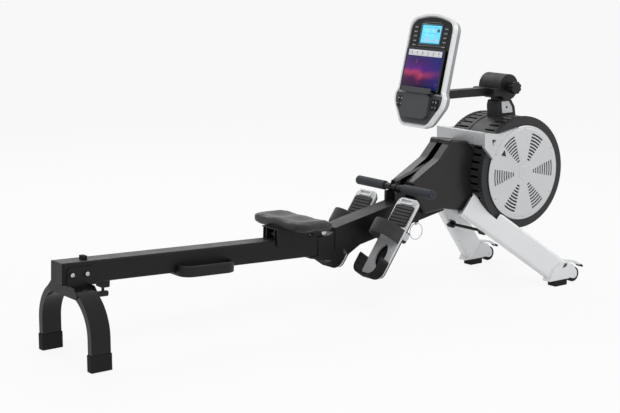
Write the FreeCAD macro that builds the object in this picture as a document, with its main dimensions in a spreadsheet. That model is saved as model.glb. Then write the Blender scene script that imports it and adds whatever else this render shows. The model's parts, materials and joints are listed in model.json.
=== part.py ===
import FreeCAD, Part
import math
import os
import re
import Sketcher

# Folding rowing machine. Millimetres. +Z up, +X from the rear leg to the flywheel, +Y the rower's left.
# The origin is on the floor, under the middle of the machine's box.

V = FreeCAD.Vector
PI = math.pi

# ---------------------------------------------------------------- driving sizes
SIZES = {
    # overall
    "rail_length": 1030, "front_length": 1167, "slip": 0.3, "running_fit": 0.05,
    # rail
    "rail_side": 74, "rail_wall": 3, "rail_corner": 6, "rail_slope": 2.2, "rail_front_height": 293.6,
    "cap_thickness": 14, "cap_plug": 18, "leaf_thickness": 5,
    # rear leg
    "arch_offset": 23.5, "arch_width": 70, "arch_bar": 24, "arch_half": 177, "arch_bend": 150,
    "arch_foot_gap": 8, "rear_cap_height": 55, "rear_cap_wall": 3, "saddle_plate": 4, "saddle_length": 104,
    "gusset_half_top": 66, "gusset_half_low": 100, "gusset_drop": 34,
    # fold handle under the rail
    "grip_start": 430, "grip_length": 220, "grip_half": 90, "grip_band": 12, "grip_height": 38,
    "grip_drop": 46, "grip_corner": 42,
    # seat
    "seat_rear": 855, "seat_length": 178, "seat_half": 155, "seat_thickness": 34, "seat_height": 41,
    "carriage_rear": 845, "carriage_length": 140, "carriage_half": 52, "carriage_plate": 4,
    "roller_radius": 14, "roller_width": 22, "stop_length": 18,
    # hinge
    "hinge_reach": 22, "hinge_rise": 11.4, "ear_radius": 14, "ear_thickness": 12, "pin_radius": 6,
    "knuckle_half": 24.7,
    # front beam
    "beam_width": 80, "beam_wall": 3,
    # drum
    "drum_radius": 218, "drum_shell": 13, "hoop_half": 34, "drum_half": 122, "disc_radius": 185,
    "disc_thickness": 8, "axle_reach": 941, "axle_height": 442, "axle_radius": 10,
    "wheel_radius": 180, "wheel_half": 60, "blade_count": 24, "side_ring": 8,
    "vent_count": 48, "vent_width": 9, "vent_length": 52,
    # shroud
    "shroud_half": 62, "shroud_wall": 3, "channel_half": 16,
    # front legs
    "leg_width": 100, "leg_thickness": 38, "leg_wall": 2.5, "foot_half_spread": 240, "leg_root_half": 62,
    "foot_pad_height": 24, "transport_radius": 30, "transport_width": 22, "transport_axle": 5,
    # pedals
    "pedal_centre": 120, "pedal_width": 116, "pedal_length": 327, "pedal_angle": 54.6,
    "pedal_plate": 8, "pedal_axle_radius": 10,
    # handle
    "bar_radius": 13, "grip_radius": 18, "bar_half": 215, "bar_reach": 391, "handle_height": 425, "strap_width": 24,
    "strap_thickness": 1.6, "reel_radius": 36,
    # console
    "head_radius": 50, "head_half": 58, "lug_half": 20, "head_height": 773, "arm_depth": 31,
    "arm_width": 40, "console_lean": 13.5, "console_height": 859, "console_half_height": 219,
    "console_half_width": 124, "console_depth": 48,
}


def driven(given):
    """Places worked out from the driving sizes."""
    out = dict(given)
    slope = math.radians(given["rail_slope"])
    total = given["rail_length"] + given["front_length"]
    out["rear_x"] = -total / 2
    out["front_x"] = total / 2
    out["hinge_face_x"] = out["rear_x"] + given["rail_length"] + 4
    out["rail_base_x"] = out["rear_x"] + given["rail_side"] * math.sin(slope)
    out["rail_rear_top"] = given["rail_front_height"] + given["rail_length"] * math.sin(slope)
    out["rail_inside"] = given["rail_side"] - 2 * given["rail_wall"]
    out["pivot_x"] = out["hinge_face_x"] + given["hinge_reach"]
    out["pivot_z"] = given["rail_front_height"] + given["hinge_rise"]
    out["axle_x"] = out["hinge_face_x"] + given["axle_reach"]
    out["blade_pitch"] = 360 / given["blade_count"]
    return out


size = driven(SIZES)

doc = FreeCAD.newDocument("RowingMachine")
sheet = doc.addObject("Spreadsheet::Sheet", "Dims")
for row, (alias, value) in enumerate(size.items(), 1):
    sheet.set("A%d" % row, alias)
    sheet.set("B%d" % row, str(value))
    sheet.setAlias("B%d" % row, alias)
doc.recompute()


class Sheet:
    """Reads the sheet's numbers as attributes, for shapes that are made by functions."""

    def __getattr__(self, alias):
        return float(sheet.get(alias))


d = Sheet()
nodes = []
axles = []
count = 0


# ---------------------------------------------------------------- helpers
def bound(text):
    """An expression whose size names are looked up in the sheet."""
    return re.sub(r"[a-z]+(_[a-z]+)+|slip", lambda m: "Dims." + m[0] if m[0] in size else m[0], str(text))


def new(kind, name="Step"):
    global count
    count += 1
    return doc.addObject(kind, "%s%d" % (name, count))


def place(obj, at=(0, 0, 0), axis=(0, 1, 0), angle=0):
    """Binds an object's placement to the sheet."""
    text = "placement(vector(%s; %s; %s); rotation(vector(%s; %s; %s); %s))"
    obj.setExpression("Placement", text % (*[bound(t) for t in at], *axis, bound(angle)))
    return obj


def carried(obj, at, angle):
    """Moves an object made in a tilted frame of its own: its origin to at, then turned about Y."""
    own = dict(obj.ExpressionEngine).get("Placement")
    text = "placement(vector(%s; %s; %s); rotation(vector(0; 1; 0); %s))"
    text %= (*[bound(t) for t in at], bound(angle))
    obj.setExpression("Placement", text + (" * " + own if own else ""))
    return obj


def on_rail(obj):
    """Puts an object made in rail coordinates on the sloping rail: X along it, Z above its top."""
    return carried(obj, ("rail_base_x", 0, "rail_rear_top"), "rail_slope")


def box(at, dims):
    obj = new("Part::Box", "Box")
    for name, text in zip(("Length", "Width", "Height"), dims):
        obj.setExpression(name, bound(text))
    return place(obj, at)


TURN = {"X": ((0, 1, 0), 90), "Y": ((1, 0, 0), -90), "Z": ((0, 0, 1), 0)}


def rod(at, along, radius, length):
    obj = new("Part::Cylinder", "Rod")
    obj.setExpression("Radius", bound(radius))
    obj.setExpression("Height", bound(length))
    axis, angle = TURN[along]
    return place(obj, at, axis, angle)


def cross_rod(x, z, radius, half):
    """A cylinder along Y, centred on the machine's middle plane."""
    return rod((x, "-(%s)" % half, z), "Y", radius, "2 * (%s)" % half)


def group(*parts):
    obj = new("Part::Compound", "Group")
    obj.Links = list(parts)
    return obj


def fuse(*parts):
    obj = new("Part::MultiFuse", "Fuse")
    obj.Shapes = list(parts)
    return obj


def cut(base, *tools):
    obj = new("Part::Cut", "Cut")
    obj.Base = base
    obj.Tool = tools[0] if len(tools) == 1 else group(*tools)
    return obj


def rounded(base, radius, pick):
    """Fillets the edges of a finished object that pick() chooses."""
    doc.recompute()
    obj = new("Part::Fillet", "Round")
    obj.Base = base
    obj.Edges = [(i, radius, radius) for i, edge in enumerate(base.Shape.Edges, 1) if pick(edge)]
    return obj


def runs_along(axis):
    """Chooses straight edges parallel to an axis."""
    def pick(edge):
        if not isinstance(edge.Curve, Part.Line):
            return False
        return abs(abs(edge.Curve.Direction.dot(axis)) - 1) < 1e-6
    return pick


PLANES = {"XZ": "XZ_Plane", "XY": "XY_Plane", "YZ": "YZ_Plane"}


def plate(points, thickness, plane="XZ", offset=(0, 0, 0)):
    """A sketched outline, padded to both sides of its plane."""
    body = new("PartDesign::Body", "Plate")
    sketch = body.newObject("Sketcher::SketchObject", body.Name + "Sketch")
    origin = [f for f in body.Origin.OriginFeatures if f.Role == PLANES[plane]][0]
    sketch.AttachmentSupport = [(origin, "")]
    sketch.MapMode = "FlatFace"
    last = len(points)
    start = [V(math.cos(2 * PI * i / last), math.sin(2 * PI * i / last), 0) for i in range(last)]
    for i in range(last):
        sketch.addGeometry(Part.LineSegment(start[i], start[(i + 1) % last]), False)
    for i in range(last):
        sketch.addConstraint(Sketcher.Constraint("Coincident", i, 2, (i + 1) % last, 1))
    for i, point in enumerate(points):
        for kind, text, value in (("DistanceX", point[0], start[i].x), ("DistanceY", point[1], start[i].y)):
            index = sketch.addConstraint(Sketcher.Constraint(kind, -1, 1, i, 1, value))
            sketch.setExpression("Constraints[%d]" % index, bound(text))
    pad = body.newObject("PartDesign::Pad", body.Name + "Pad")
    pad.Profile = sketch
    pad.Midplane = True
    pad.setExpression("Length", bound(thickness))
    return place(body, offset)


def feature(shape):
    obj = new("Part::Feature", "Form")
    obj.Shape = shape
    return obj


def mirrored(obj):
    """The same piece on the other side of the machine's middle plane."""
    other = new("Part::Mirroring", "Mirror")
    other.Source = obj
    other.Normal = V(0, 1, 0)
    return other


def both(obj):
    return group(obj, mirrored(obj))


def node(label, obj):
    obj.Label = label
    nodes.append(obj)
    return obj


def smooth_wire(points, radii):
    """A closed wire in 3D through corner points, each rounded to its radius (0 keeps it sharp)."""
    edges = []
    last = len(points)
    ends = []
    for i in range(last):
        here, back, ahead = points[i], points[i - 1], points[(i + 1) % last]
        into = (back - here).normalize()
        out = (ahead - here).normalize()
        half = into.getAngle(out) / 2
        if radii[i] <= 0 or abs(half - PI / 2) < 1e-3:
            ends.append((here, None, here))
            continue
        reach = radii[i] / math.tan(half)
        middle = (into + out).normalize()
        centre = here + middle * (radii[i] / math.sin(half))
        ends.append((here + into * reach, centre - middle * radii[i], here + out * reach))
    for i in range(last):
        first, middle, leave = ends[i]
        if middle is not None:
            edges.append(Part.Arc(first, middle, leave).toShape())
        goal = ends[(i + 1) % last][0]
        if leave.distanceToPoint(goal) > 1e-6:
            edges.append(Part.LineSegment(leave, goal).toShape())
    return Part.Wire(edges)


def side_face(points, radii=0, y=0, holes=()):
    """A face in the XZ plane at height y along Y; holes are (points, radii) pairs."""
    if not isinstance(radii, (list, tuple)):
        radii = [radii] * len(points)
    wires = [smooth_wire([V(px, y, pz) for px, pz in points], radii)]
    for hole_points, hole_radius in holes:
        corners = [V(px, y, pz) for px, pz in hole_points]
        wires.append(smooth_wire(corners, [hole_radius] * len(corners)))
    return Part.makeFace(wires, "Part::FaceMakerBullseye")


def side_solid(points, radii, y_low, y_high, holes=()):
    return side_face(points, radii, y_low, holes).extrude(V(0, y_high - y_low, 0))


def tube_along_y(x, z, outer, inner, y_low, y_high):
    ring = Part.makeCylinder(outer, y_high - y_low, V(x, y_low, z), V(0, 1, 0))
    if inner <= 0:
        return ring
    return ring.cut(Part.makeCylinder(inner, y_high - y_low, V(x, y_low, z), V(0, 1, 0)))


def to_rail(shape):
    rail = FreeCAD.Placement(V(d.rail_base_x, 0, d.rail_rear_top), FreeCAD.Rotation(V(0, 1, 0), d.rail_slope))
    shape.Placement = rail.multiply(shape.Placement)
    return shape


# ---------------------------------------------------------------- rail and its rear leg
tube_end = "rail_length - leaf_thickness"


def make_rail():
    outside = rounded(box(("cap_thickness", "-rail_side / 2", "-rail_side"),
                          (tube_end + " - cap_thickness", "rail_side", "rail_side")),
                      d.rail_corner, runs_along(V(1, 0, 0)))
    inside = box(("cap_thickness - 1", "-rail_inside / 2", "rail_wall - rail_side"),
                 (tube_end + " - cap_thickness + 2", "rail_inside", "rail_inside"))
    node("seat_rail", on_rail(cut(outside, inside)))

    face = rounded(box((0, "-rail_side / 2", "-rail_side"), ("cap_thickness", "rail_side", "rail_side")),
                   d.rail_corner, runs_along(V(1, 0, 0)))
    grooves = [box((2.5 + 3.6 * i, "-rail_side / 2 - 1", "-rail_side - 1"), (1.4, 2.4, "rail_side + 2"))
               for i in range(3)]
    grooves += [box((2.5 + 3.6 * i, "rail_side / 2 - 1.4", "-rail_side - 1"), (1.4, 2.4, "rail_side + 2"))
                for i in range(3)]
    plug = box(("cap_thickness", "-rail_inside / 2 + slip", "rail_wall - rail_side + slip"),
               ("cap_plug", "rail_inside - 2 * slip", "rail_inside - 2 * slip"))
    node("rail_end_cap", on_rail(fuse(cut(face, *grooves), plug)))

    stops = [box((at, -14, 0), ("stop_length", 28, 12)) for at in ("arch_offset + 64", "rail_length - 53")]
    node("seat_stops", on_rail(group(*[rounded(s, 4, runs_along(V(0, 0, 1))) for s in stops])))


def make_rear_leg():
    """The arch is a flat bar bent over two large bends; its top follows the saddle's underside."""
    top = d.rail_rear_top - d.rail_side - d.saddle_plate
    half, bend, bar = d.arch_half, d.arch_bend, d.arch_bar
    flat = half - bend
    spring = top - bend
    turn = math.sqrt(0.5)

    def run(radius, out):
        """One side of the bar: legs, bends and flat, from the left foot to the right one."""
        corner = [V(0, out, d.arch_foot_gap), V(0, out, spring),
                  V(0, flat + radius * turn, spring + radius * turn), V(0, flat, spring + radius)]
        return corner, [V(0, -p.y, p.z) for p in reversed(corner)]

    edges = []
    for radius, out in ((bend, half), (bend - bar, half - bar)):
        left, right = run(radius, out)
        edges += [Part.LineSegment(left[0], left[1]).toShape(), Part.Arc(*left[1:]).toShape(),
                  Part.LineSegment(left[3], right[0]).toShape(), Part.Arc(*right[:3]).toShape(),
                  Part.LineSegment(right[2], right[3]).toShape()]
    for side in (1, -1):
        edges.append(Part.LineSegment(V(0, side * half, d.arch_foot_gap),
                                      V(0, side * (half - bar), d.arch_foot_gap)).toShape())
    wire = Part.Wire(Part.__sortEdges__(edges))
    arch = Part.Face(wire).extrude(V(d.arch_width, 0, 0))
    arch.translate(V(d.rear_x + d.arch_offset, 0, 0))
    room = to_rail(Part.makeBox(400, 400, 60, V(-100, -200, -d.rail_side - d.saddle_plate)))
    node("rear_leg_arch", feature(arch.cut(room)))

    sides = [box(("arch_offset - 6", y, "-rail_side - saddle_plate"),
                 ("saddle_length", "saddle_plate", "58 + saddle_plate"))
             for y in ("rail_side / 2", "-rail_side / 2 - saddle_plate")]
    sides = [rounded(s, 14, lambda e: abs(e.CenterOfMass.z - e.BoundBox.ZMax) < 1e-6 and e.BoundBox.ZMax > -30
                     and abs(e.BoundBox.YLength - d.saddle_plate) < 1e-6) for s in sides]
    base = box(("arch_offset - 6", "-rail_side / 2 - saddle_plate", "-rail_side - saddle_plate"),
               ("saddle_length", "rail_side + 2 * saddle_plate", "saddle_plate"))
    saddle = on_rail(fuse(base, *sides))
    gussets = [plate([("-gusset_half_top", "rail_rear_top - rail_side + 6"),
                      ("gusset_half_top", "rail_rear_top - rail_side + 6"),
                      ("gusset_half_low", "rail_rear_top - rail_side - saddle_plate - gusset_drop + 12"),
                      ("gusset_half_low - 14", "rail_rear_top - rail_side - saddle_plate - gusset_drop"),
                      ("-gusset_half_low + 14", "rail_rear_top - rail_side - saddle_plate - gusset_drop"),
                      ("-gusset_half_low", "rail_rear_top - rail_side - saddle_plate - gusset_drop + 12")],
                     "saddle_plate", "YZ", (at, 0, 0))
               for at in ("rear_x + arch_offset - saddle_plate / 2",
                          "rear_x + arch_offset + arch_width + saddle_plate / 2")]
    above = on_rail(box((-50, -150, "-rail_side"), (400, 300, 60)))
    heads = [on_rail(rod((at, y, -40), "Y", 8, 5)) for at in (34, 88)
             for y in ("rail_side / 2 + saddle_plate", "-rail_side / 2 - saddle_plate - 5")]
    node("rear_leg_saddle", fuse(saddle, cut(group(*gussets), above), *heads))

    outer = box(("rear_x + arch_offset - rear_cap_wall", "arch_half - arch_bar - rear_cap_wall", 0),
                ("arch_width + 2 * rear_cap_wall", "arch_bar + 2 * rear_cap_wall", "rear_cap_height"))
    pocket = box(("rear_x + arch_offset - slip", "arch_half - arch_bar - slip", "arch_foot_gap"),
                 ("arch_width + 2 * slip", "arch_bar + 2 * slip", "rear_cap_height"))
    cap = cut(rounded(outer, 2.4, runs_along(V(0, 0, 1))), pocket)
    node("rear_foot_caps", both(cap))

    clamp = box(("arch_offset + 130", -16, "-rail_side - 26"), (34, 32, 26))
    stem = rod(("arch_offset + 147", 0, "-rail_side - 40"), "Z", 5, 14)
    wings = rounded(box(("arch_offset + 128", -5, "-rail_side - 58"), (38, 10, 18)), 4.5,
                    runs_along(V(0, 1, 0)))
    clamp = rounded(clamp, 5, runs_along(V(0, 1, 0)))
    node("storage_lock", on_rail(fuse(clamp, stem, wings)))


def make_fold_handle():
    """A moulded loop that stands out on both sides of the rail and is bolted under it."""
    start, length, half = d.grip_start, d.grip_length, d.grip_half
    low = -d.grip_drop - d.grip_height

    def loop(inset):
        corners = [V(start + inset, -half + inset, low), V(start + length - inset, -half + inset, low),
                   V(start + length - inset, half - inset, low), V(start + inset, half - inset, low)]
        return Part.Face(smooth_wire(corners, [d.grip_corner - inset] * 4)).extrude(V(0, 0, d.grip_height))

    ring = loop(0).cut(loop(d.grip_band))
    outer_edges = [e for e in ring.Edges if abs(e.BoundBox.ZLength) < 1e-6]
    ring = ring.makeFillet(4.5, outer_edges)
    half_side = d.rail_side / 2 + d.slip
    rail_room = Part.makeBox(length + 40, 2 * half_side, 100, V(start - 20, -half_side, -d.rail_side))
    strip = Part.makeBox(length - 2 * d.grip_band - 2, d.rail_side, 6, V(start + d.grip_band - 2,
                         -d.rail_side / 2, -d.rail_side - 6))
    strip = strip.fuse(Part.makeBox(10, d.rail_side, 6, V(start + length - d.grip_band - 6,
                       -d.rail_side / 2, -d.rail_side - 6)))
    node("fold_handle", feature(to_rail(ring.cut(rail_room).fuse(strip).removeSplitter())))


# ---------------------------------------------------------------- seat
def make_seat():
    corner = [V(0, -d.seat_half, 0), V(d.seat_length, -d.seat_half, 0), V(d.seat_length, d.seat_half, 0),
              V(0, d.seat_half, 0)]
    pad = Part.Face(smooth_wire(corner, [36] * 4)).extrude(V(0, 0, d.seat_thickness))
    pad = pad.makeFillet(9, [e for e in pad.Edges if e.BoundBox.ZMin > d.seat_thickness - 1e-6])
    pad = pad.makeFillet(5, [e for e in pad.Edges if e.BoundBox.ZMax < 1e-6])
    pad.translate(V(d.seat_rear, 0, d.seat_height))
    node("seat_pad", feature(to_rail(pad)))

    plate_low = "seat_height - carriage_plate"
    top = box(("carriage_rear", "-carriage_half", plate_low),
              ("carriage_length", "2 * carriage_half", "carriage_plate"))
    cheeks = [box(("carriage_rear", y, "roller_radius - 12"), ("carriage_length", 5, "seat_height - 2"))
              for y in (22, -27)]
    skirts = [box(("carriage_rear", y, -22), ("carriage_length", 5, "seat_height + 22 - 1"))
              for y in ("rail_side / 2 + 2", "-rail_side / 2 - 7")]
    room = box(("carriage_rear - 5", -100, "seat_height - 0.5"), ("carriage_length + 10", 200, 60))
    bores = [cross_rod(x, "roller_radius + slip", 4, 60) for x in ROLLER_X]
    carriage = cut(fuse(top, *cheeks, *skirts), room, *bores)
    axles = [cross_rod(x, "roller_radius + slip", 4, "rail_side / 2 + 8") for x in ROLLER_X]
    node("seat_carriage", on_rail(fuse(carriage, *axles)))
    for label, x in zip(("front_seat_roller", "rear_seat_roller"), reversed(ROLLER_X)):
        tyre = cross_rod(x, "roller_radius + slip", "roller_radius", "roller_width / 2")
        bore = cross_rod(x, "roller_radius + slip", "4 + running_fit", "roller_width")
        node(label, on_rail(cut(tyre, bore)))


ROLLER_X = ("carriage_rear + 26", "carriage_rear + carriage_length - 26")


# ---------------------------------------------------------------- fold hinge
def make_hinge():
    """The leaf closes the rail's front end and carries two ears to the pin above the rail."""
    end = on_rail(box((tube_end, "-rail_side / 2", "-rail_side"),
                      ("leaf_thickness", "rail_side", "rail_side")))
    top = on_rail(box(("rail_length - 34", "-rail_side / 2", 0), (34, "rail_side", 4)))
    ears = []
    for y in ("rail_side / 2 - ear_thickness", "-rail_side / 2"):
        arm = plate([("pivot_x - 54", "pivot_z - hinge_rise + 1.2"), ("pivot_x", "pivot_z - ear_radius"),
                     ("pivot_x", "pivot_z + ear_radius"), ("pivot_x - 30", "pivot_z + ear_radius - 4")],
                    "ear_thickness", "XZ", (0, y + " + ear_thickness / 2", 0))
        ears += [arm, rod(("pivot_x", y, "pivot_z"), "Y", "ear_radius", "ear_thickness")]
    bore = cross_rod("pivot_x", "pivot_z", "pin_radius + running_fit", "rail_side")
    tube_room = on_rail(box(("rail_length - 120", "-rail_side / 2 - 1", "-rail_side - 1"),
                            (115, "rail_side + 2", "rail_side + 1")))
    node("rail_hinge_leaf", cut(fuse(end, top, *ears), bore, tube_room))

    x = "hinge_face_x + "
    block = plate([("hinge_face_x", 203), ("hinge_face_x", 288), (x + "48", 289), (x + "76", 300),
                   (x + "76", 233), (x + "115", 233), (x + "120", 189), (x + "27", 199)],
                  "rail_side")
    lip = on_rail(box(("rail_length - 26", "-rail_side / 2", "-rail_side - slip - 8"), (40, "rail_side", 8)))
    knuckle = fuse(rod(("pivot_x", "-knuckle_half", "pivot_z"), "Y", "ear_radius", "2 * knuckle_half"),
                   box(("pivot_x - 9", "-knuckle_half", 280), ("ear_radius + 9", "2 * knuckle_half", 20)))
    pin_hole = cross_rod("pivot_x", "pivot_z", "pin_radius", "rail_side")
    beam_room = box(("hinge_face_x + 76", -50, 233), (100, 100, 90))
    node("hinge_bracket", cut(fuse(block, lip, knuckle), pin_hole, beam_room))
    pin = cross_rod("pivot_x", "pivot_z", "pin_radius", "rail_side / 2 + 1")
    heads = [rod(("pivot_x", y, "pivot_z"), "Y", "pin_radius + 4", 4)
             for y in ("rail_side / 2 + 1", "-rail_side / 2 - 5")]
    node("hinge_pin", fuse(pin, *heads))


# ---------------------------------------------------------------- front beam and what it carries
def past_hinge(x, z):
    """A point of the front frame: x is measured forward from the frame's rear face."""
    return ("hinge_face_x + %s" % x, z)


BEAM = [past_hinge(76, 233), past_hinge(76, 314), past_hinge(606, 418), past_hinge(606, 318),
        past_hinge(192, 237), past_hinge(136, 207), past_hinge(116, 233)]


def numbers(points):
    return [(d.hinge_face_x + float(px.split("+")[1]), float(pz)) for px, pz in points]


def hollow_side(points, half, wall):
    """A closed box section along Y with the given side outline."""
    outer = side_face(points, 0, -half)
    inner = outer.makeOffset2D(-wall)
    inner = inner if isinstance(inner, Part.Face) else Part.Face(inner)
    inner = inner.extrude(V(0, 2 * (half - wall), 0))
    inner.translate(V(0, wall, 0))
    return outer.extrude(V(0, 2 * half, 0)).cut(inner)


def pedal_frame(local_x, local_z):
    """World place of a point given along a footplate and out from its face."""
    angle = math.radians(d.pedal_angle)
    return (d.hinge_face_x + 173 + local_x * math.cos(angle) - local_z * math.sin(angle),
            134 + local_x * math.sin(angle) + local_z * math.cos(angle))


PEDAL_PIVOT = pedal_frame(188, -24)


def make_beam():
    beam = hollow_side(numbers(BEAM), d.beam_width / 2, d.beam_wall)
    axle_x, axle_z = PEDAL_PIVOT
    beam = beam.cut(tube_along_y(axle_x, axle_z, d.pedal_axle_radius, 0, -60, 60))
    pin_x = d.hinge_face_x + 481
    beam = beam.cut(Part.makeCylinder(5 + d.running_fit, 60, V(pin_x, -22, 270)))
    solid_beam = side_solid(numbers(BEAM), 0, -d.beam_width / 2, d.beam_width / 2)

    axle = tube_along_y(axle_x, axle_z, d.pedal_axle_radius, 0, -d.pedal_centre - 46, d.pedal_centre + 46)
    for side in (1, -1):
        for low, high in ((d.beam_width / 2, 74.7), (165.3, 171)):
            ends = sorted((side * low, side * high))
            axle = axle.fuse(tube_along_y(axle_x, axle_z, d.pedal_axle_radius + 5, 0, *ends))
    node("pedal_axle", feature(axle.removeSplitter()))

    sleeve = Part.makeCylinder(10, 24, V(pin_x, -22, 284))
    sleeve = sleeve.cut(Part.makeCylinder(5 + d.running_fit, 40, V(pin_x, -22, 276))).cut(solid_beam)
    node("front_beam", feature(beam.fuse(sleeve).removeSplitter()))
    pin = Part.makeCylinder(5, 56, V(pin_x, -22, 274)).cut(
        Part.makeCylinder(2.2, 20, V(pin_x - 10, -22, 279), V(1, 0, 0)))
    ring = Part.makeTorus(31, 1.6, V(pin_x, -22, 279 - 31), V(0, 1, 0))
    node("lock_pin", feature(Part.makeCompound([pin, ring])))

    bar_x = d.hinge_face_x + d.bar_reach
    cradle = side_solid([(bar_x - 20, 360), (bar_x - 20, 411), (bar_x, 411), (bar_x + 9, 425),
                         (bar_x + 22, 425), (bar_x + 22, 360)], [0, 3, 0, 3, 3, 0], 24, 36)
    cradle = cradle.cut(tube_along_y(bar_x, d.handle_height, d.bar_radius + d.slip, 0, 0, 60)).cut(solid_beam)
    other = cradle.mirror(V(0, 0, 0), V(0, 1, 0))
    node("handle_cradle", feature(Part.makeCompound([cradle, other])))
    return solid_beam


# ---------------------------------------------------------------- drum and flywheel
def slot_wires(y):
    """Six fans of nine arc slots, as wires in a disc's face."""
    wires = []
    for fan in range(6):
        for ring in range(9):
            radius = d.disc_radius * (0.30 + 0.062 * ring)
            spread = math.radians(10.5)
            middle = fan * PI / 3

            def at(r, a):
                return V(d.axle_x + r * math.cos(a), y, d.axle_height + r * math.sin(a))
            inner, outer = radius, radius + 5
            low, high = middle - spread, middle + spread
            wires.append(Part.Wire([
                Part.Arc(at(inner, low), at(inner, middle), at(inner, high)).toShape(),
                Part.LineSegment(at(inner, high), at(outer, high)).toShape(),
                Part.Arc(at(outer, high), at(outer, middle), at(outer, low)).toShape(),
                Part.LineSegment(at(outer, low), at(inner, low)).toShape()]))
    return wires


def make_drum():
    x, z, shell = d.axle_x, d.axle_height, d.drum_radius - d.drum_shell
    node("drum_hoop", feature(tube_along_y(x, z, d.drum_radius - 2, shell, -d.hoop_half, d.hoop_half)))
    vents = []
    for i in range(int(d.vent_count)):
        vent = Part.makeBox(d.drum_shell + 8, d.vent_length, d.vent_width,
                            V(shell - 4, d.hoop_half + 14, -d.vent_width / 2))
        vent.rotate(V(0, 0, 0), V(0, 1, 0), 360 * i / d.vent_count)
        vent.translate(V(x, 0, z))
        vents.append(vent)
    ring = tube_along_y(x, z, d.drum_radius, shell, d.hoop_half, d.drum_half).cut(Part.makeCompound(vents))
    side = tube_along_y(x, z, shell, d.disc_radius - 8, d.drum_half - d.side_ring, d.drum_half)
    housing = ring.fuse(side).removeSplitter()
    outside = Part.Circle(V(x, d.drum_half, z), V(0, 1, 0), d.disc_radius)
    wires = [Part.Wire(outside.toShape())] + slot_wires(d.drum_half)
    cover = Part.makeFace(wires, "Part::FaceMakerBullseye").extrude(V(0, d.disc_thickness, 0))
    for name, shape in (("fan_housing", housing), ("fan_cover", cover)):
        node(name + "s", both(feature(shape)))
    axles.append(cross_rod("axle_x", "axle_height", "axle_radius", "drum_half"))

    wheel = tube_along_y(x, z, 26, 0, -d.wheel_half, d.wheel_half)
    wheel = wheel.fuse(tube_along_y(x, z, d.wheel_radius, 0, -5, 5))
    blades = []
    for i in range(int(d.blade_count)):
        blade = Part.makeBox(70, 2 * d.wheel_half, 2.5, V(d.wheel_radius - 74, -d.wheel_half, -1.25))
        blade.rotate(V(0, 0, 0), V(0, 1, 0), i * d.blade_pitch)
        blade.translate(V(x, 0, z))
        blades.append(blade)
    wheel = wheel.multiFuse(blades)
    wheel = wheel.cut(tube_along_y(x, z, d.axle_radius + d.running_fit, 0, -200, 200))
    node("fan_wheel", feature(wheel))
    magnets = [(x - d.wheel_radius + 8, z - 40), (x - d.drum_radius, z - 40),
               (x - d.drum_radius, z + 40), (x - d.wheel_radius + 8, z + 40)]
    brake = side_solid(magnets, 0, 62.5, d.hoop_half + 48).cut(tube_along_y(x, z, 172, 0, 0, 200))
    brake = brake.common(tube_along_y(x, z, shell, 0, 0, 200))
    node("magnet_brake", feature(brake))


YOKE_TOP = 617


def make_yoke():
    """The bright trim: a band behind the drum and a tapering arm on each side of it."""
    x, z, out = d.axle_x, d.axle_height, d.drum_half + 14

    def on_disc(angle, radius):
        turn = math.radians(angle)
        return V(x + radius * math.cos(turn), 0, z + radius * math.sin(turn))
    back = x - 218
    lead, tail = on_disc(101, d.disc_radius + 0.3), on_disc(158, d.disc_radius + 0.3)
    corners = [V(back, 0, 560), V(back, 0, YOKE_TOP), V(back + 78, 0, 606), lead]
    edges = [Part.LineSegment(corners[i], corners[i + 1]).toShape() for i in range(3)]
    edges.append(Part.Arc(lead, on_disc(130, d.disc_radius + 0.3), tail).toShape())
    edges.append(Part.LineSegment(tail, corners[0]).toShape())
    window = smooth_wire([V(back + 38, 0, 588), V(back + 62, 0, 586), V(back + 44, 0, 558)], [3, 3, 3])
    arm = Part.makeFace([Part.Wire(edges), window], "Part::FaceMakerBullseye")
    arm = arm.extrude(V(0, out - d.drum_half, 0))
    arm.translate(V(0, d.drum_half, 0))
    band = side_solid([(back, 566), (back, YOKE_TOP), (back + 14, YOKE_TOP), (back + 14, 566)],
                      [3, 3, 0, 0], -d.drum_half, d.drum_half)
    other = arm.mirror(V(0, 0, 0), V(0, 1, 0))
    yoke = band.fuse([arm, other]).removeSplitter()
    node("yoke_trim", feature(yoke))
    return yoke


# ---------------------------------------------------------------- legs, tie rod and transport wheels
def leg_prism(width, thick, extra):
    """A flat oval tube along one leg's axis."""
    x = d.hinge_face_x
    head, foot = V(x + 701, d.leg_root_half, 335), V(x + 1021, d.foot_half_spread - 2, 62)
    along = (foot - head).normalize()
    across = V(-along.z, 0, along.x).normalize()
    out = along.cross(across)
    head = head - along * extra
    corners = [head + across * (a * width / 2) + out * (b * thick / 2)
               for a, b in ((-1, -1), (1, -1), (1, 1), (-1, 1))]
    section = Part.Face(smooth_wire(corners, [thick * 0.32] * 4))
    return section.extrude(along * ((foot - head).Length + 30 - extra))


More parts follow.
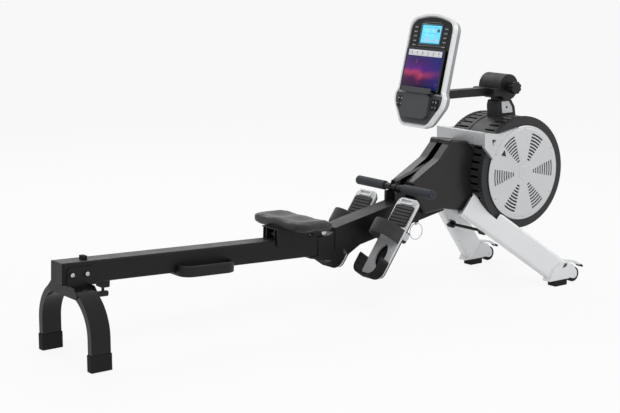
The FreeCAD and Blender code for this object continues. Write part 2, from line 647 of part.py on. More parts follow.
def make_legs():
    x, low = d.hinge_face_x, d.foot_pad_height
    spread, half = d.foot_half_spread, d.leg_thickness / 2
    foot = side_solid([(x + 969, low), (x + 1079, low), (x + 1079, 85), (x + 1028, 92), (x + 990, 66)],
                      [0, 0, 6, 0, 0], spread - half, spread + half)
    drum = tube_along_y(d.axle_x, d.axle_height, d.drum_radius + 2, 0, -d.drum_half - 9, d.drum_half + 9)
    room = Part.makeBox(500, spread + half, 400, V(x + 1079 - 500, 0, low))
    solid = leg_prism(d.leg_width, d.leg_thickness, 0).fuse(foot).common(room).cut(drum).removeSplitter()
    inner = leg_prism(d.leg_width - 2 * d.leg_wall, d.leg_thickness - 2 * d.leg_wall, 1)
    inner = inner.cut(Part.makeBox(500, 500, 70, V(x + 900, 0, 0)))
    node("front_legs", both(feature(solid.cut(inner))))
    other = solid.mirror(V(0, 0, 0), V(0, 1, 0))

    tie_x, tie_z = x + 766, 225
    tie = tube_along_y(tie_x, tie_z, 6, 0, -112, 112)
    for side in (1, -1):
        ends = sorted((side * 78, side * 100))
        tie = tie.fuse(tube_along_y(tie_x, tie_z, 15, 0, *ends))
    node("leg_tie_rod", feature(tie.cut([solid, other])))

    pad = side_solid([(x + 999, 0), (x + 1067, 0), (x + 1067, low), (x + 999, low)], [4, 4, 0, 0],
                     spread - half, spread + half)

    wheel_x, wheel_z, ear = x + 1113, 34, d.transport_width / 2 + 1
    outline = [(x + 1079, 26), (x + 1079, 84), (x + 1101, 78), (x + 1127, 46), (x + 1127, 26), (x + 1113, 18)]
    ears = [side_solid(outline, [0, 0, 4, 8, 8, 8], y, y + 3.5) for y in (spread - ear - 3.5, spread + ear)]
    axle = tube_along_y(wheel_x, wheel_z, d.transport_axle, 0, spread - ear - 5, spread + ear + 5)
    tyre = tube_along_y(wheel_x, wheel_z, d.transport_radius, d.transport_axle + d.running_fit,
                        spread - d.transport_width / 2, spread + d.transport_width / 2)
    tyre = tyre.makeFillet(4, [e for e in tyre.Edges if e.BoundBox.XLength > 50 and e.BoundBox.YLength < 1e-6])
    node("left_transport_wheel", feature(tyre))
    node("right_transport_wheel", mirrored(nodes[-1]))
    guard = side_solid([(x + 1030, 92), (x + 1038, 101), (x + 1116, 89), (x + 1148, 72), (x + 1146, 67),
                        (x + 1114, 83), (x + 1079, 85.3)], [0, 3, 0, 0, 0, 0, 0], spread - 13, spread + 13)
    guard = guard.cut(solid)
    bracket = [guard, axle] + [ear.cut(axle) for ear in ears]
    node("wheel_brackets", both(feature(Part.makeCompound(bracket))))
    tip = side_solid([(x + 1146, 67), (x + 1148, 72), (d.front_x, 64), (d.front_x, 57), (x + 1156, 58)],
                     [0, 0, 2, 2, 3], spread - 13, spread + 13)
    node("front_foot_rubbers", both(feature(Part.makeCompound([pad, tip]))))
    return solid, other


# ---------------------------------------------------------------- shroud, centre frame, strap and reel
SHROUD = [(430, 445), (564, 519), (614, 572), (620, 592), (709, 579), (738, 546), (830, 400), (830, 330),
          (760, 312), (677, 310), (594, 327), (492, 320), (440, 392)]
SHROUD_ROUND = [10, 60, 10, 12, 14, 10, 0, 0, 10, 20, 10, 14, 20]
REEL = (683, 504)


def make_shroud(solid_beam, legs, yoke):
    x, half, wall = d.hinge_face_x, d.shroud_half, d.shroud_wall
    outline = [(x + px, pz) for px, pz in SHROUD]
    drum = tube_along_y(d.axle_x, d.axle_height, d.drum_radius + 2, 0, -200, 200)
    face = side_face(outline, SHROUD_ROUND, d.channel_half)
    outer = face.extrude(V(0, half - d.channel_half, 0))
    rim = [e for e in outer.Edges if e.BoundBox.YMin > half - 1e-6 and e.CenterOfMass.x < x + 800]
    outer = outer.makeFillet(9, rim)
    inner = face.makeOffset2D(-wall)
    inner = inner.extrude(V(0, half - d.channel_half - wall, 0))
    shell = outer.cut(inner).cut([drum, solid_beam, legs[0], yoke])
    node("left_shroud", feature(max(shell.Solids, key=lambda s: s.Volume)))
    node("right_shroud", mirrored(nodes[-1]))

    floor = side_solid([(x + 446, 430), (x + 566, 480), (x + 640, 506), (x + 640, 510), (x + 566, 484),
                        (x + 446, 434)], 0, -half + wall, half - wall)
    skin = outer.cut(inner)
    floor = floor.cut([skin, skin.mirror(V(0, 0, 0), V(0, 1, 0))])
    cap = side_solid([(x + 616, 574), (x + 621, 591), (x + 708, 578), (x + 716, 568), (x + 660, 560),
                      (x + 628, 562)], [2, 8, 6, 2, 4, 2], -d.channel_half, d.channel_half)
    node("strap_guide", feature(Part.makeCompound([floor, cap])))

    frame = hollow_side([(x + 606, 334), (x + 606, 440), (x + 740, 440), (x + 800, 400), (x + 780, 330),
                         (x + 690, 322)], 43, 3)
    hoop = tube_along_y(d.axle_x, d.axle_height, d.drum_radius - 2, 0, -200, 200)
    sides = tube_along_y(d.axle_x, d.axle_height, d.drum_radius, 0, -200, 200)
    sides = sides.cut(Part.makeBox(900, 2 * d.hoop_half, 900, V(x + 500, -d.hoop_half, 0)))
    node("centre_frame", feature(frame.cut([hoop, sides, legs[0], legs[1]])))

    reel_x, reel_z = x + REEL[0], REEL[1]
    reel = tube_along_y(reel_x, reel_z, d.reel_radius - 2, 0, -13, 13)
    for low, high in ((-15.5, -13), (13, 15.5)):
        reel = reel.fuse(tube_along_y(reel_x, reel_z, d.reel_radius + 2, 0, low, high))
    reel = reel.cut(tube_along_y(reel_x, reel_z, 6 + d.running_fit, 0, -60, 60))
    node("strap_reel", feature(reel.removeSplitter()))
    axles.append(cross_rod("hinge_face_x + %s" % REEL[0], REEL[1], 6, "shroud_half - shroud_wall"))


# ---------------------------------------------------------------- handle
def make_handle():
    bar_x, z = d.hinge_face_x + d.bar_reach, d.handle_height
    bar = tube_along_y(bar_x, z, d.bar_radius, d.bar_radius - 2, -d.bar_half + 4, d.bar_half - 4)
    grip = tube_along_y(bar_x, z, d.grip_radius, d.bar_radius, 52, d.bar_half - 4)
    grip = grip.fuse(tube_along_y(bar_x, z, d.grip_radius, 0, d.bar_half - 4, d.bar_half)).removeSplitter()
    grip = grip.makeFillet(5, [e for e in grip.Edges if e.BoundBox.YMin > d.bar_half - 0.01])
    node("handle_grips", both(feature(grip)))
    lugs = []
    for low, high in ((13, 17), (-17, -13)):
        lug = side_solid([(bar_x - 10, z), (bar_x + 12, z), (bar_x + 12, z + 27), (bar_x - 2, z + 27)],
                         [0, 0, 5, 5], low, high)
        lugs.append(lug.fuse(tube_along_y(bar_x, z, d.bar_radius + 2.5, 0, low, high)))
    hanger = lugs[0].fuse(lugs[1]).fuse(tube_along_y(bar_x + 5, z + 21, 3, 0, -17, 17))
    hanger = hanger.cut(tube_along_y(bar_x, z, d.bar_radius, 0, -50, 50))
    node("handle_bar", feature(bar.fuse(hanger).removeSplitter()))
    start = V(bar_x + 5, 0, z + 21 + 3)
    reel_x, reel_z, radius = d.hinge_face_x + REEL[0], REEL[1], d.reel_radius - 2
    slope = math.atan2(reel_z + radius - start.z, reel_x - start.x)
    end = V(reel_x - radius * math.sin(slope), 0, reel_z + radius * math.cos(slope))
    rise = V(0, 0, d.strap_thickness)
    strap = side_solid([(start.x, start.z), (end.x, end.z), (end.x, end.z + rise.z),
                        (start.x, start.z + rise.z)], 0, -d.strap_width / 2, d.strap_width / 2)
    node("pull_strap", feature(strap))


# ---------------------------------------------------------------- pedals
def to_pedal(shape, side):
    place_at = pedal_frame(0, 0)
    shape.Placement = FreeCAD.Placement(V(place_at[0], side * d.pedal_centre, place_at[1]),
                                        FreeCAD.Rotation(V(0, 1, 0), -d.pedal_angle)).multiply(shape.Placement)
    return shape


def flat_block(x_low, x_high, half, z_low, z_high, radius):
    corners = [V(x_low, -half, z_low), V(x_high, -half, z_low), V(x_high, half, z_low), V(x_low, half, z_low)]
    return Part.Face(smooth_wire(corners, [radius] * 4)).extrude(V(0, 0, z_high - z_low))


def pedal_shapes():
    """One pedal lying flat: heel at the origin, toe along +X, the foot on +Z."""
    half = d.pedal_width / 2
    base = flat_block(0, d.pedal_length, half, -d.pedal_plate, 0, 26)
    tip, wide = (44, 138), 26
    leaf = Part.Wire([Part.Arc(V(tip[0], 0, -9), V(90, wide, -9), V(tip[1], 0, -9)).toShape(),
                      Part.Arc(V(tip[1], 0, -9), V(90, -wide, -9), V(tip[0], 0, -9)).toShape()])
    base = base.cut(Part.Face(leaf).extrude(V(0, 0, 12)))
    back = flat_block(6, d.pedal_length - 6, half - 6, -d.pedal_plate - 10, -d.pedal_plate, 22)
    back = back.cut(flat_block(14, d.pedal_length - 14, half - 14, -d.pedal_plate - 6, -d.pedal_plate + 1, 16))
    boss = flat_block(166, 210, 45, -41, -d.pedal_plate - 9, 8)
    back = back.fuse(boss).cut(tube_along_y(188, -24, d.pedal_axle_radius + d.running_fit, 0, -80, 80))
    back = back.cut([tube_along_y(188, -24, 16, 0, -80, -45), tube_along_y(188, -24, 16, 0, 45, 80)])
    cup = flat_block(-7, 92, half + 4, 0, 44, 34).cut(flat_block(-1, 110, half - 2, -1, 50, 28))
    cup = cup.cut(Part.makeBox(60, 200, 60, V(70, -100, -5)))
    ribs = [flat_block(218 + 13 * i, 226 + 13 * i, half - 12, 0, 7, 2) for i in range(6)]
    pad = flat_block(214, 298, half - 8, 0, 3, 10).multiFuse(ribs).removeSplitter()
    buckle = flat_block(301, 323, 36, 0, 9, 5).cut(flat_block(306, 318, 29, -1, 20, 2))

    def arch(rx, rz):
        ends = [V(146, rx, 0.0), V(146, rx, 22), V(146, rx * math.sqrt(0.5), 22 + (rz - 22) * math.sqrt(0.5)),
                V(146, 0, rz)]
        right = [V(p.x, -p.y, p.z) for p in ends]
        return [Part.LineSegment(ends[0], ends[1]).toShape(), Part.Arc(*ends[1:]).toShape(),
                Part.Arc(*reversed(right[1:])).toShape(), Part.LineSegment(right[1], right[0]).toShape()]
    edges = arch(half - 1, 86) + arch(half - 5, 82)
    for side in (1, -1):
        edges.append(Part.LineSegment(V(146, side * (half - 1), 0), V(146, side * (half - 5), 0)).toShape())
    band = Part.Face(Part.Wire(Part.__sortEdges__(edges))).extrude(V(58, 0, 0))
    return {"footplate": Part.makeCompound([base, buckle]), "pedal_shell": Part.makeCompound([back, cup]),
            "toe_pad": pad, "foot_strap": band}


def make_pedals():
    for side, hand in ((1, "left_"), (-1, "right_")):
        for name, shape in pedal_shapes().items():
            node(hand + name, feature(to_pedal(shape, side)))


# ---------------------------------------------------------------- mast, arm and console
def make_mast():
    x, z = d.hinge_face_x, d.head_height
    foot = side_solid([(x + 893, 630), (x + 887, 700), (x + 893, 719), (x + 965, 719), (x + 985, 690),
                       (x + 996, 630)], [0, 10, 6, 6, 20, 0], -28, 28)
    neck = side_solid([(x + 900, 700), (x + 900, z), (x + 942, z), (x + 945, 700)], 0, -d.lug_half, d.lug_half)
    head_x = x + 921
    lug = tube_along_y(head_x, z, d.head_radius, 0, -d.lug_half, d.lug_half)
    hoop = tube_along_y(d.axle_x, d.axle_height, d.drum_radius - 2, 0, -100, 100)
    mast = foot.fuse([neck, lug]).cut(hoop).removeSplitter()
    mast = mast.cut(tube_along_y(head_x, z, 8, 0, -100, 100))
    node("console_mast", feature(mast))
    badges = []
    for low in (28, -32):
        badge = side_solid([(x + 915, 668), (x + 909, 714), (x + 948, 714), (x + 966, 690), (x + 971, 668)],
                           [2, 4, 4, 4, 2], low, low + 4)
        badge = badge.cut(tube_along_y(x + 938, 690, 5, 0, low - 5, low + 10))
        badges.append(badge)
    node("mast_plates", feature(Part.makeCompound(badges)))
    axles.append(feature(tube_along_y(head_x, z, 8, 0, -d.head_half - 12, d.head_half)))
    node("steel_axles", group(*axles))
    gap = d.lug_half + d.slip
    cheeks = []
    for side in (1, -1):
        ends = sorted((side * gap, side * d.head_half))
        ring = tube_along_y(head_x, z, d.head_radius, 8 + d.running_fit, *ends)
        arm = side_solid([(head_x - 78, z - 33), (head_x - 40, z - 33), (head_x - 40, z - 2),
                          (head_x - 78, z - 2)], 0, *ends)
        cheeks.append(ring.fuse(arm).cut(tube_along_y(head_x, z, 8 + d.running_fit, 0, *ends)))
    bridge = side_solid([(head_x - 80, z - 33), (head_x - 58, z - 33), (head_x - 58, z - 2),
                         (head_x - 80, z - 2)], 0, -d.head_half, d.head_half)
    half = d.arm_width / 2
    boom = side_solid([(x + 568, 742), (x + 716, 742), (head_x - 62, z - 33), (head_x - 62, z - 2),
                       (x + 716, 742 + d.arm_depth), (x + 568, 742 + d.arm_depth)], [6, 60, 0, 0, 60, 6],
                      -half, half)
    eye_x, eye_z = x + 580, 742 + d.arm_depth / 2
    arm = cheeks[0].fuse([cheeks[1], bridge, boom, tube_along_y(eye_x, eye_z, 18, 0, -half, half)])
    arm = arm.cut(tube_along_y(eye_x, eye_z, 5, 0, -60, 60)).removeSplitter()
    tilt_pin = tube_along_y(eye_x, eye_z, 5, 0, -half - 9, half + 9)
    node("console_arm", feature(Part.makeCompound([arm, tilt_pin])))
    knob = tube_along_y(head_x, z, 24, 0, -102, -72).fuse(tube_along_y(head_x, z, 14, 0, -72, -d.head_half - 0.3))
    flutes = [tube_along_y(head_x + 26 * math.cos(i * PI / 4), z + 26 * math.sin(i * PI / 4), 5, 0, -110, -71)
              for i in range(8)]
    knob = knob.cut(flutes).cut(tube_along_y(head_x, z, 8 + d.running_fit, 0, -d.head_half - 13, 0))
    node("console_knob", feature(knob))
    return eye_x, eye_z


def panel(points, radii, thick, start=0):
    """A flat piece of the console, in its own frame: Y across, Z up the face, front on -X."""
    corners = [V(start, py, pz) for py, pz in points]
    return Part.Face(smooth_wire(corners, radii)).extrude(V(thick, 0, 0))


def console_outline(inset):
    """The console's outline, a tall rounded body that widens to a bowl at its foot."""
    half, bowl, top = d.console_half_width - inset, d.console_half_width + 12 - inset, d.console_half_height - inset
    right = [(half, top - 28), (half, -78), (bowl, -96), (bowl, -128), (bowl - 62, -top)]
    left = [(-py, pz) for py, pz in reversed(right)]
    radii = [44, 18, 16, 60, 50]
    return right + left + [(0, top)], radii + radii[::-1] + [260]


def block(y_low, y_high, z_low, z_high, start, thick, radius=3):
    points = [(y_low, z_low), (y_high, z_low), (y_high, z_high), (y_low, z_high)]
    return panel(points, [radius] * 4, thick, start)


def make_console(eye_x, eye_z):
    centre = V(d.hinge_face_x + 529, 0, d.console_height)
    stand = FreeCAD.Placement(centre, FreeCAD.Rotation(V(0, 1, 0), d.console_lean))

    def piece(label, shape):
        shape.Placement = stand.multiply(shape.Placement)
        return node(label, feature(shape))
    depth = d.console_depth
    outline, radii = console_outline(0)
    inner, inner_radii = console_outline(7)
    void, void_radii = console_outline(10)
    bezel = panel(outline, radii, 20).cut([panel(inner, inner_radii, 8, -1), panel(void, void_radii, 12, 11)])
    piece("console_bezel", bezel)
    rear, rear_radii = console_outline(5)
    shell = panel(rear, rear_radii, depth - 20, 20)
    shell = shell.makeFillet(14, [e for e in shell.Edges if e.BoundBox.XMin > depth - 1e-6])
    shell = shell.cut(panel(void, void_radii, depth - 20 - 4, 20))
    lean = stand.inverse().multVec(V(eye_x, 0, eye_z))
    half = d.arm_width / 2 + d.slip
    ears = []
    for side in (1, -1):
        ends = sorted((side * half, side * (half + 8)))
        ear = Part.makeCylinder(15, 8, V(lean.x, ends[0], lean.z), V(0, 1, 0))
        web = Part.makeBox(lean.x - depth + 6, 8, 30, V(depth - 6, ends[0], lean.z - 15))
        ears.append(ear.fuse(web))
    bore = Part.makeCylinder(5 + d.running_fit, 100, V(lean.x, -50, lean.z), V(0, 1, 0))
    piece("console_back", shell.fuse(ears).cut(bore))
    fascia_outline, fascia_radii = console_outline(11)
    fascia = panel(fascia_outline, fascia_radii, 5, 2).common(block(-200, 200, -86, 300, 0, 20, 1))
    window = block(-55, 55, 101, 169, 0, 12, 2)
    piece("console_fascia", fascia.cut(window))
    piece("console_display", block(-54.7, 54.7, 101.3, 168.7, 3, 4, 2))
    piece("tablet", block(-107, 107, -82, 80, -7, 8.7, 8))
    rest = block(-74, 74, -186, -89, -14, 21, 26)
    bowl = panel([(128, -92), (128, -126), (70, -205), (-70, -205), (-128, -126), (-128, -92)],
                 [12, 50, 46, 46, 50, 12], 6, 1)
    recesses = [block(y, y + 34, -148, -106, -20, 40, 4) for y in (80, -114)]
    bowl = bowl.cut(recesses)
    ledge = block(-80, 80, -90, -83, -22, 24, 3)
    lip = block(-80, 80, -90, -70, -22, 6, 3)
    piece("tablet_rest", rest.fuse([bowl, ledge, lip]).removeSplitter())
    for hand, y in (("left_", 80), ("right_", -114)):
        piece(hand + "key", block(y + 0.3, y + 33.7, -147.7, -106.3, -3, 8.2, 4))


make_rail()
make_rear_leg()
make_fold_handle()
make_seat()
make_hinge()
solid_beam = make_beam()
make_drum()
yoke = make_yoke()
legs = make_legs()
make_shroud(solid_beam, legs, yoke)
make_handle()
make_pedals()
make_console(*make_mast())

doc.recompute()
for obj in doc.Objects:
    if "Invalid" in obj.State or "Error" in obj.State:
        raise RuntimeError("%s failed to build: %s" % (obj.Label, obj.State))
os.makedirs("parts", exist_ok=True)
for obj in nodes:
    if obj.Shape.isNull() or not obj.Shape.isValid() or not obj.Shape.Solids:
        raise RuntimeError("%s has no sound shape" % obj.Label)
    obj.Shape.exportStep("parts/%s.step" % obj.Label)
print(len(nodes), "nodes")
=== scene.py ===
"""Looks of the rowing machine: finishes, the moulded seat, webbing, grips, console details and fasteners."""
import json
import math

import bmesh
import bpy
import numpy as np
from mathutils import Matrix, Vector


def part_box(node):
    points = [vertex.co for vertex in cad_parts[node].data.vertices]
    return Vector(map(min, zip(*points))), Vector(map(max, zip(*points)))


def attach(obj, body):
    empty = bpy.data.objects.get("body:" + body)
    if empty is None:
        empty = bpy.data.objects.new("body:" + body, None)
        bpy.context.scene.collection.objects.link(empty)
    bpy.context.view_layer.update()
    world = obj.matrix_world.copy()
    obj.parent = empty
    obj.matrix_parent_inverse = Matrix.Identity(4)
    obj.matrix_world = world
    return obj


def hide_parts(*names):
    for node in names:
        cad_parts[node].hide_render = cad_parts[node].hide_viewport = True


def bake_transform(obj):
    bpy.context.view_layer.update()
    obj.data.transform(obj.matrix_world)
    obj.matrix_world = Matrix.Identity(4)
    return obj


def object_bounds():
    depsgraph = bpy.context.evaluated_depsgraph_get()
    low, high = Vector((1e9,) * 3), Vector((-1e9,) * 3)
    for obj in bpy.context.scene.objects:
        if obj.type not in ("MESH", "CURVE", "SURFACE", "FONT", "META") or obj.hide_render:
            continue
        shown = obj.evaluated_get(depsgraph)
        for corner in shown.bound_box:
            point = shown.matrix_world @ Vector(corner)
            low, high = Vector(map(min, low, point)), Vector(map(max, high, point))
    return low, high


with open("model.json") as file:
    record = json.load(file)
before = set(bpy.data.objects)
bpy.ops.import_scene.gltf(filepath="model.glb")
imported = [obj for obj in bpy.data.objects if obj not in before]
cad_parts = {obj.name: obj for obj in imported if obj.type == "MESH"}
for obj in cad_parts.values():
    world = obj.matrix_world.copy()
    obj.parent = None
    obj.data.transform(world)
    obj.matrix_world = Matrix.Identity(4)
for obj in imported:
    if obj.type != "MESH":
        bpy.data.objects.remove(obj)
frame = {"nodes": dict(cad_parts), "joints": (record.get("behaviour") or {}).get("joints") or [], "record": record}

CAD_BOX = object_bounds()
MM = 0.001
JOINT = {j["name"]: j for j in frame["joints"]}
SIDES = (("left", 1), ("right", -1))


# ---------------------------------------------------------------- frames of the object's parts
def turned(x, y, z, tilt):
    """A frame at a point, turned about +Y by tilt degrees."""
    return Matrix.Translation((x, y, z)) @ Matrix.Rotation(math.radians(tilt), 4, "Y")


HINGE_X = JOINT["rail_fold"]["pos_m"][0] - 22 * MM
RAIL_SLOPE = 2.2
RAIL_SIDE = 74 * MM
RAIL_TOP = 333.14 * MM
RAIL = turned(CAD_BOX[0].x + RAIL_SIDE * math.sin(math.radians(RAIL_SLOPE)), 0, RAIL_TOP, RAIL_SLOPE)
PEDAL_ANGLE = 54.6
PEDAL = {hand: turned(HINGE_X + 173 * MM, side * 120 * MM, 134 * MM, -PEDAL_ANGLE) for hand, side in SIDES}
CONSOLE = turned(HINGE_X + 529 * MM, 0, 859 * MM, 13.5)
AXLE_X, _, AXLE_Z = JOINT["flywheel_spin"]["pos_m"]
BAR = Vector((HINGE_X + 391 * MM, 0, 425 * MM))

# ---------------------------------------------------------------- camera
camera = bpy.data.objects.new("camera", bpy.data.cameras.new("camera"))
bpy.context.scene.collection.objects.link(camera)
camera.location = (-3.2922, -4.2219, 1.3968)
camera.rotation_euler = (math.radians(79.332), 0, math.radians(-37.32))
camera.data.lens = 87.06
camera.data.sensor_width = 36
bpy.context.scene.camera = camera
bpy.context.scene.view_settings.view_transform = "Standard"


# ---------------------------------------------------------------- node helpers
class Graph:
    """Adds nodes to one material and links them in a line of code each."""

    def __init__(self, name):
        self.material = bpy.data.materials.new(name)
        self.material.use_nodes = True
        self.tree = self.material.node_tree
        self.shader = self.tree.nodes["Principled BSDF"]
        self.where = self.add("TexCoord").outputs["Object"]

    def add(self, kind, inputs=None, **settings):
        node = self.tree.nodes.new("ShaderNode" + kind)
        for key, value in settings.items():
            setattr(node, key, value)
        for key, value in (inputs or {}).items():
            self.put(node.inputs[key], value)
        return node

    def put(self, socket, value):
        if isinstance(value, bpy.types.NodeSocket):
            self.tree.links.new(value, socket)
        else:
            socket.default_value = value

    def noise(self, scale, detail=3, rough=0.5, at=None):
        made = self.add("TexNoise", {"Vector": at or self.where, "Scale": scale, "Detail": detail,
                                     "Roughness": rough})
        return made.outputs["Fac"]

    def stretched(self, along):
        return self.add("Mapping", {"Vector": self.where, "Scale": along}).outputs["Vector"]

    def remap(self, value, low, high, from_low=0.3, from_high=0.7):
        made = self.add("MapRange", {"Value": value, "From Min": from_low, "From Max": from_high,
                                     "To Min": low, "To Max": high})
        return made.outputs["Result"]

    def math(self, what, a, b=0.0):
        made = self.add("Math", {0: a, 1: b}, operation=what)
        return made.outputs[0]

    def mix(self, factor, a, b):
        made = self.add("Mix", data_type="RGBA")
        self.put(made.inputs["Factor"], factor)
        self.put(made.inputs["A"], a)
        self.put(made.inputs["B"], b)
        return made.outputs["Result"]

    def bump(self, height, strength, distance, normal=None):
        made = self.add("Bump", {"Height": height, "Strength": strength, "Distance": distance})
        if normal:
            self.put(made.inputs["Normal"], normal)
        return made.outputs["Normal"]


def shade(colour, factor):
    return (*(min(1.0, c * factor) for c in colour[:3]), 1.0)


MATERIALS = {}


def finish(slot, colour, rough, metal=0.0, mottle=0.12, mottle_scale=6.0, grain=900.0, grain_strength=0.12,
           grain_depth=0.0002, edge=0.0012, spread=0.06, coat=0.0, sheen=0.0, stretch=None, spec=0.5):
    """A plain surface with large-scale colour change, fine grain, uneven gloss and softened edges."""
    g = Graph(slot)
    broad = g.noise(mottle_scale, 4, 0.6)
    fine = g.noise(grain, 2, 0.6, g.stretched(stretch) if stretch else None)
    tone = g.mix(g.remap(broad, 0, 1), shade(colour, 1 - mottle), shade(colour, 1 + mottle))
    tone = g.mix(g.remap(fine, 0, 0.5), tone, shade(colour, 1 - mottle))
    g.put(g.shader.inputs["Base Color"], tone)
    smear = g.noise(mottle_scale * 3, 5, 0.65, g.stretched(stretch) if stretch else None)
    g.put(g.shader.inputs["Roughness"], g.remap(smear, rough - spread, rough + spread))
    g.shader.inputs["Metallic"].default_value = metal
    g.shader.inputs["Coat Weight"].default_value = coat
    g.shader.inputs["Coat Roughness"].default_value = 0.08
    g.shader.inputs["Sheen Weight"].default_value = sheen
    g.shader.inputs["Specular IOR Level"].default_value = spec
    soft = g.add("Bevel", {"Radius": edge}, samples=4).outputs["Normal"] if edge else None
    g.put(g.shader.inputs["Normal"], g.bump(fine, grain_strength, grain_depth, soft))
    MATERIALS[slot] = g.material
    return g.material


def make_finishes():
    finish("black_frame", (0.009, 0.009, 0.010), 0.40, mottle=0.2, grain=1400, spec=0.20)
    finish("gloss_black", (0.006, 0.006, 0.007), 0.18, grain=500, grain_strength=0.03, coat=0.12, spread=0.05,
           spec=0.18)
    finish("silver_frame", (0.80, 0.81, 0.82), 0.32, metal=0.10, mottle=0.03, grain=2500, grain_strength=0.05,
           coat=0.25)
    finish("silver_trim", (0.60, 0.61, 0.62), 0.30, metal=0.35, mottle=0.04, grain=2200, grain_strength=0.06)
    finish("disc_silver", (0.62, 0.63, 0.64), 0.34, metal=0.30, mottle=0.03, grain=2200, grain_strength=0.05,
           edge=0.0006)
    finish("footplate_metal", (0.66, 0.67, 0.68), 0.34, metal=0.35, mottle=0.08, grain=260, grain_strength=0.2,
           stretch=(1, 14, 1), edge=0.001)
    finish("steel", (0.50, 0.51, 0.53), 0.28, metal=0.9, mottle=0.08, grain=300, stretch=(1, 1, 12), edge=0.0006)
    finish("flywheel_steel", (0.020, 0.020, 0.022), 0.45, metal=0.3, mottle=0.2, edge=0, spec=0.2)
    finish("drum_plastic", (0.030, 0.030, 0.032), 0.42, mottle=0.15, grain=1600, grain_strength=0.25,
           edge=0.0008, spec=0.25)
    finish("shroud_plastic", (0.018, 0.016, 0.0155), 0.33, mottle=0.15, grain=1800, grain_strength=0.2, spec=0.28)
    finish("black_plastic", (0.011, 0.011, 0.012), 0.44, mottle=0.2, grain=1500, grain_strength=0.35, spec=0.25)
    finish("rubber", (0.010, 0.010, 0.010), 0.75, mottle=0.25, grain=700, grain_strength=0.4, spec=0.2)
    finish("toe_rubber", (0.040, 0.040, 0.042), 0.60, mottle=0.15, grain=900, grain_strength=0.35, spec=0.3)
    finish("console_white", (0.84, 0.85, 0.86), 0.24, mottle=0.02, grain=2600, grain_strength=0.03, coat=0.35)
    finish("console_grey", (0.30, 0.31, 0.32), 0.40, mottle=0.05, grain=1800, grain_strength=0.2)
    finish("fascia_black", (0.004, 0.004, 0.005), 0.22, mottle=0.2, grain=900, grain_strength=0.02, coat=0.1,
           spec=0.2)
    finish("rest_grey", (0.060, 0.062, 0.065), 0.48, mottle=0.10, grain=1600, grain_strength=0.35, spec=0.3)
    finish("tablet_glass", (0.004, 0.004, 0.006), 0.12, mottle=0.2, grain=300, grain_strength=0.01, coat=0.2,
           spec=0.3)
    finish("grip_foam", (0.022, 0.026, 0.034), 0.72, mottle=0.12, grain=1100, grain_strength=0.7,
           grain_depth=0.0005, sheen=0.1, edge=0, spec=0.35)


def make_leather():
    """Seat vinyl: fine pebble grain with painted shade in the grooves between the pebbles, a few long creases, shinier
    where it is sat on.
    """
    g = Graph("seat_cover")
    pebble = g.add("TexVoronoi", {"Vector": g.where, "Scale": 620.0}, feature="DISTANCE_TO_EDGE").outputs["Distance"]
    crease = g.noise(38, 5, 0.62, g.stretched((1, 0.35, 1)))
    tone = g.mix(g.remap(g.noise(9, 4), 0, 1), (0.010, 0.010, 0.011, 1), (0.018, 0.018, 0.020, 1))
    # Painted shade: the grooves between the pebbles are painted darker, where the raised grain would shade them.
    tone = g.mix(g.remap(pebble, 0.35, 0, 0, 0.12), tone, (0.005, 0.005, 0.006, 1))
    g.put(g.shader.inputs["Base Color"], tone)
    g.put(g.shader.inputs["Roughness"], g.remap(g.noise(14, 5), 0.36, 0.52))
    g.shader.inputs["Specular IOR Level"].default_value = 0.35
    g.shader.inputs["Sheen Weight"].default_value = 0.10
    rough_skin = g.bump(g.remap(pebble, 0, 1, 0, 0.2), 0.35, 0.0003)
    g.put(g.shader.inputs["Normal"], g.bump(crease, 0.18, 0.002, rough_skin))
    MATERIALS["seat_cover"] = g.material


def make_webbing():
    """Woven nylon: ribs across the strap and a finer twill along it, with painted shade between the threads."""
    g = Graph("strap_webbing")
    across = g.add("TexWave", {"Vector": g.where, "Scale": 160.0, "Distortion": 0.4}, bands_direction="X").outputs["Fac"]
    along = g.add("TexWave", {"Vector": g.where, "Scale": 220.0, "Distortion": 0.3}, bands_direction="Y").outputs["Fac"]
    weave = g.math("MULTIPLY", across, along)
    # Painted shade: the weave's low points between the threads are painted darker and its raised threads lighter.
    tone = g.mix(weave, (0.006, 0.006, 0.007, 1), (0.030, 0.030, 0.032, 1))
    tone = g.mix(g.remap(g.noise(30, 4), 0, 0.5), tone, (0.016, 0.016, 0.017, 1))
    g.put(g.shader.inputs["Base Color"], tone)
    g.put(g.shader.inputs["Roughness"], g.remap(g.noise(200, 2), 0.62, 0.85))
    g.shader.inputs["Sheen Weight"].default_value = 0.2
    g.put(g.shader.inputs["Normal"], g.bump(weave, 0.6, 0.0006))
    MATERIALS["strap_webbing"] = g.material


def make_display():
    """Backlit liquid crystal: cyan, uneven towards its edges, with a faint pixel grid."""
    g = Graph("display_blue")
    glow = g.noise(22, 2)
    tone = g.mix(g.remap(glow, 0, 1), (0.05, 0.45, 0.72, 1), (0.16, 0.66, 0.86, 1))
    grid = g.add("TexWave", {"Vector": g.where, "Scale": 400.0}, bands_direction="Y").outputs["Fac"]
    tone = g.mix(g.remap(grid, 0, 0.12, 0, 1), tone, (0.03, 0.30, 0.55, 1))
    g.put(g.shader.inputs["Base Color"], tone)
    g.put(g.shader.inputs["Emission Color"], tone)
    g.shader.inputs["Emission Strength"].default_value = 0.75
    g.shader.inputs["Roughness"].default_value = 0.15
    MATERIALS["display_blue"] = g.material


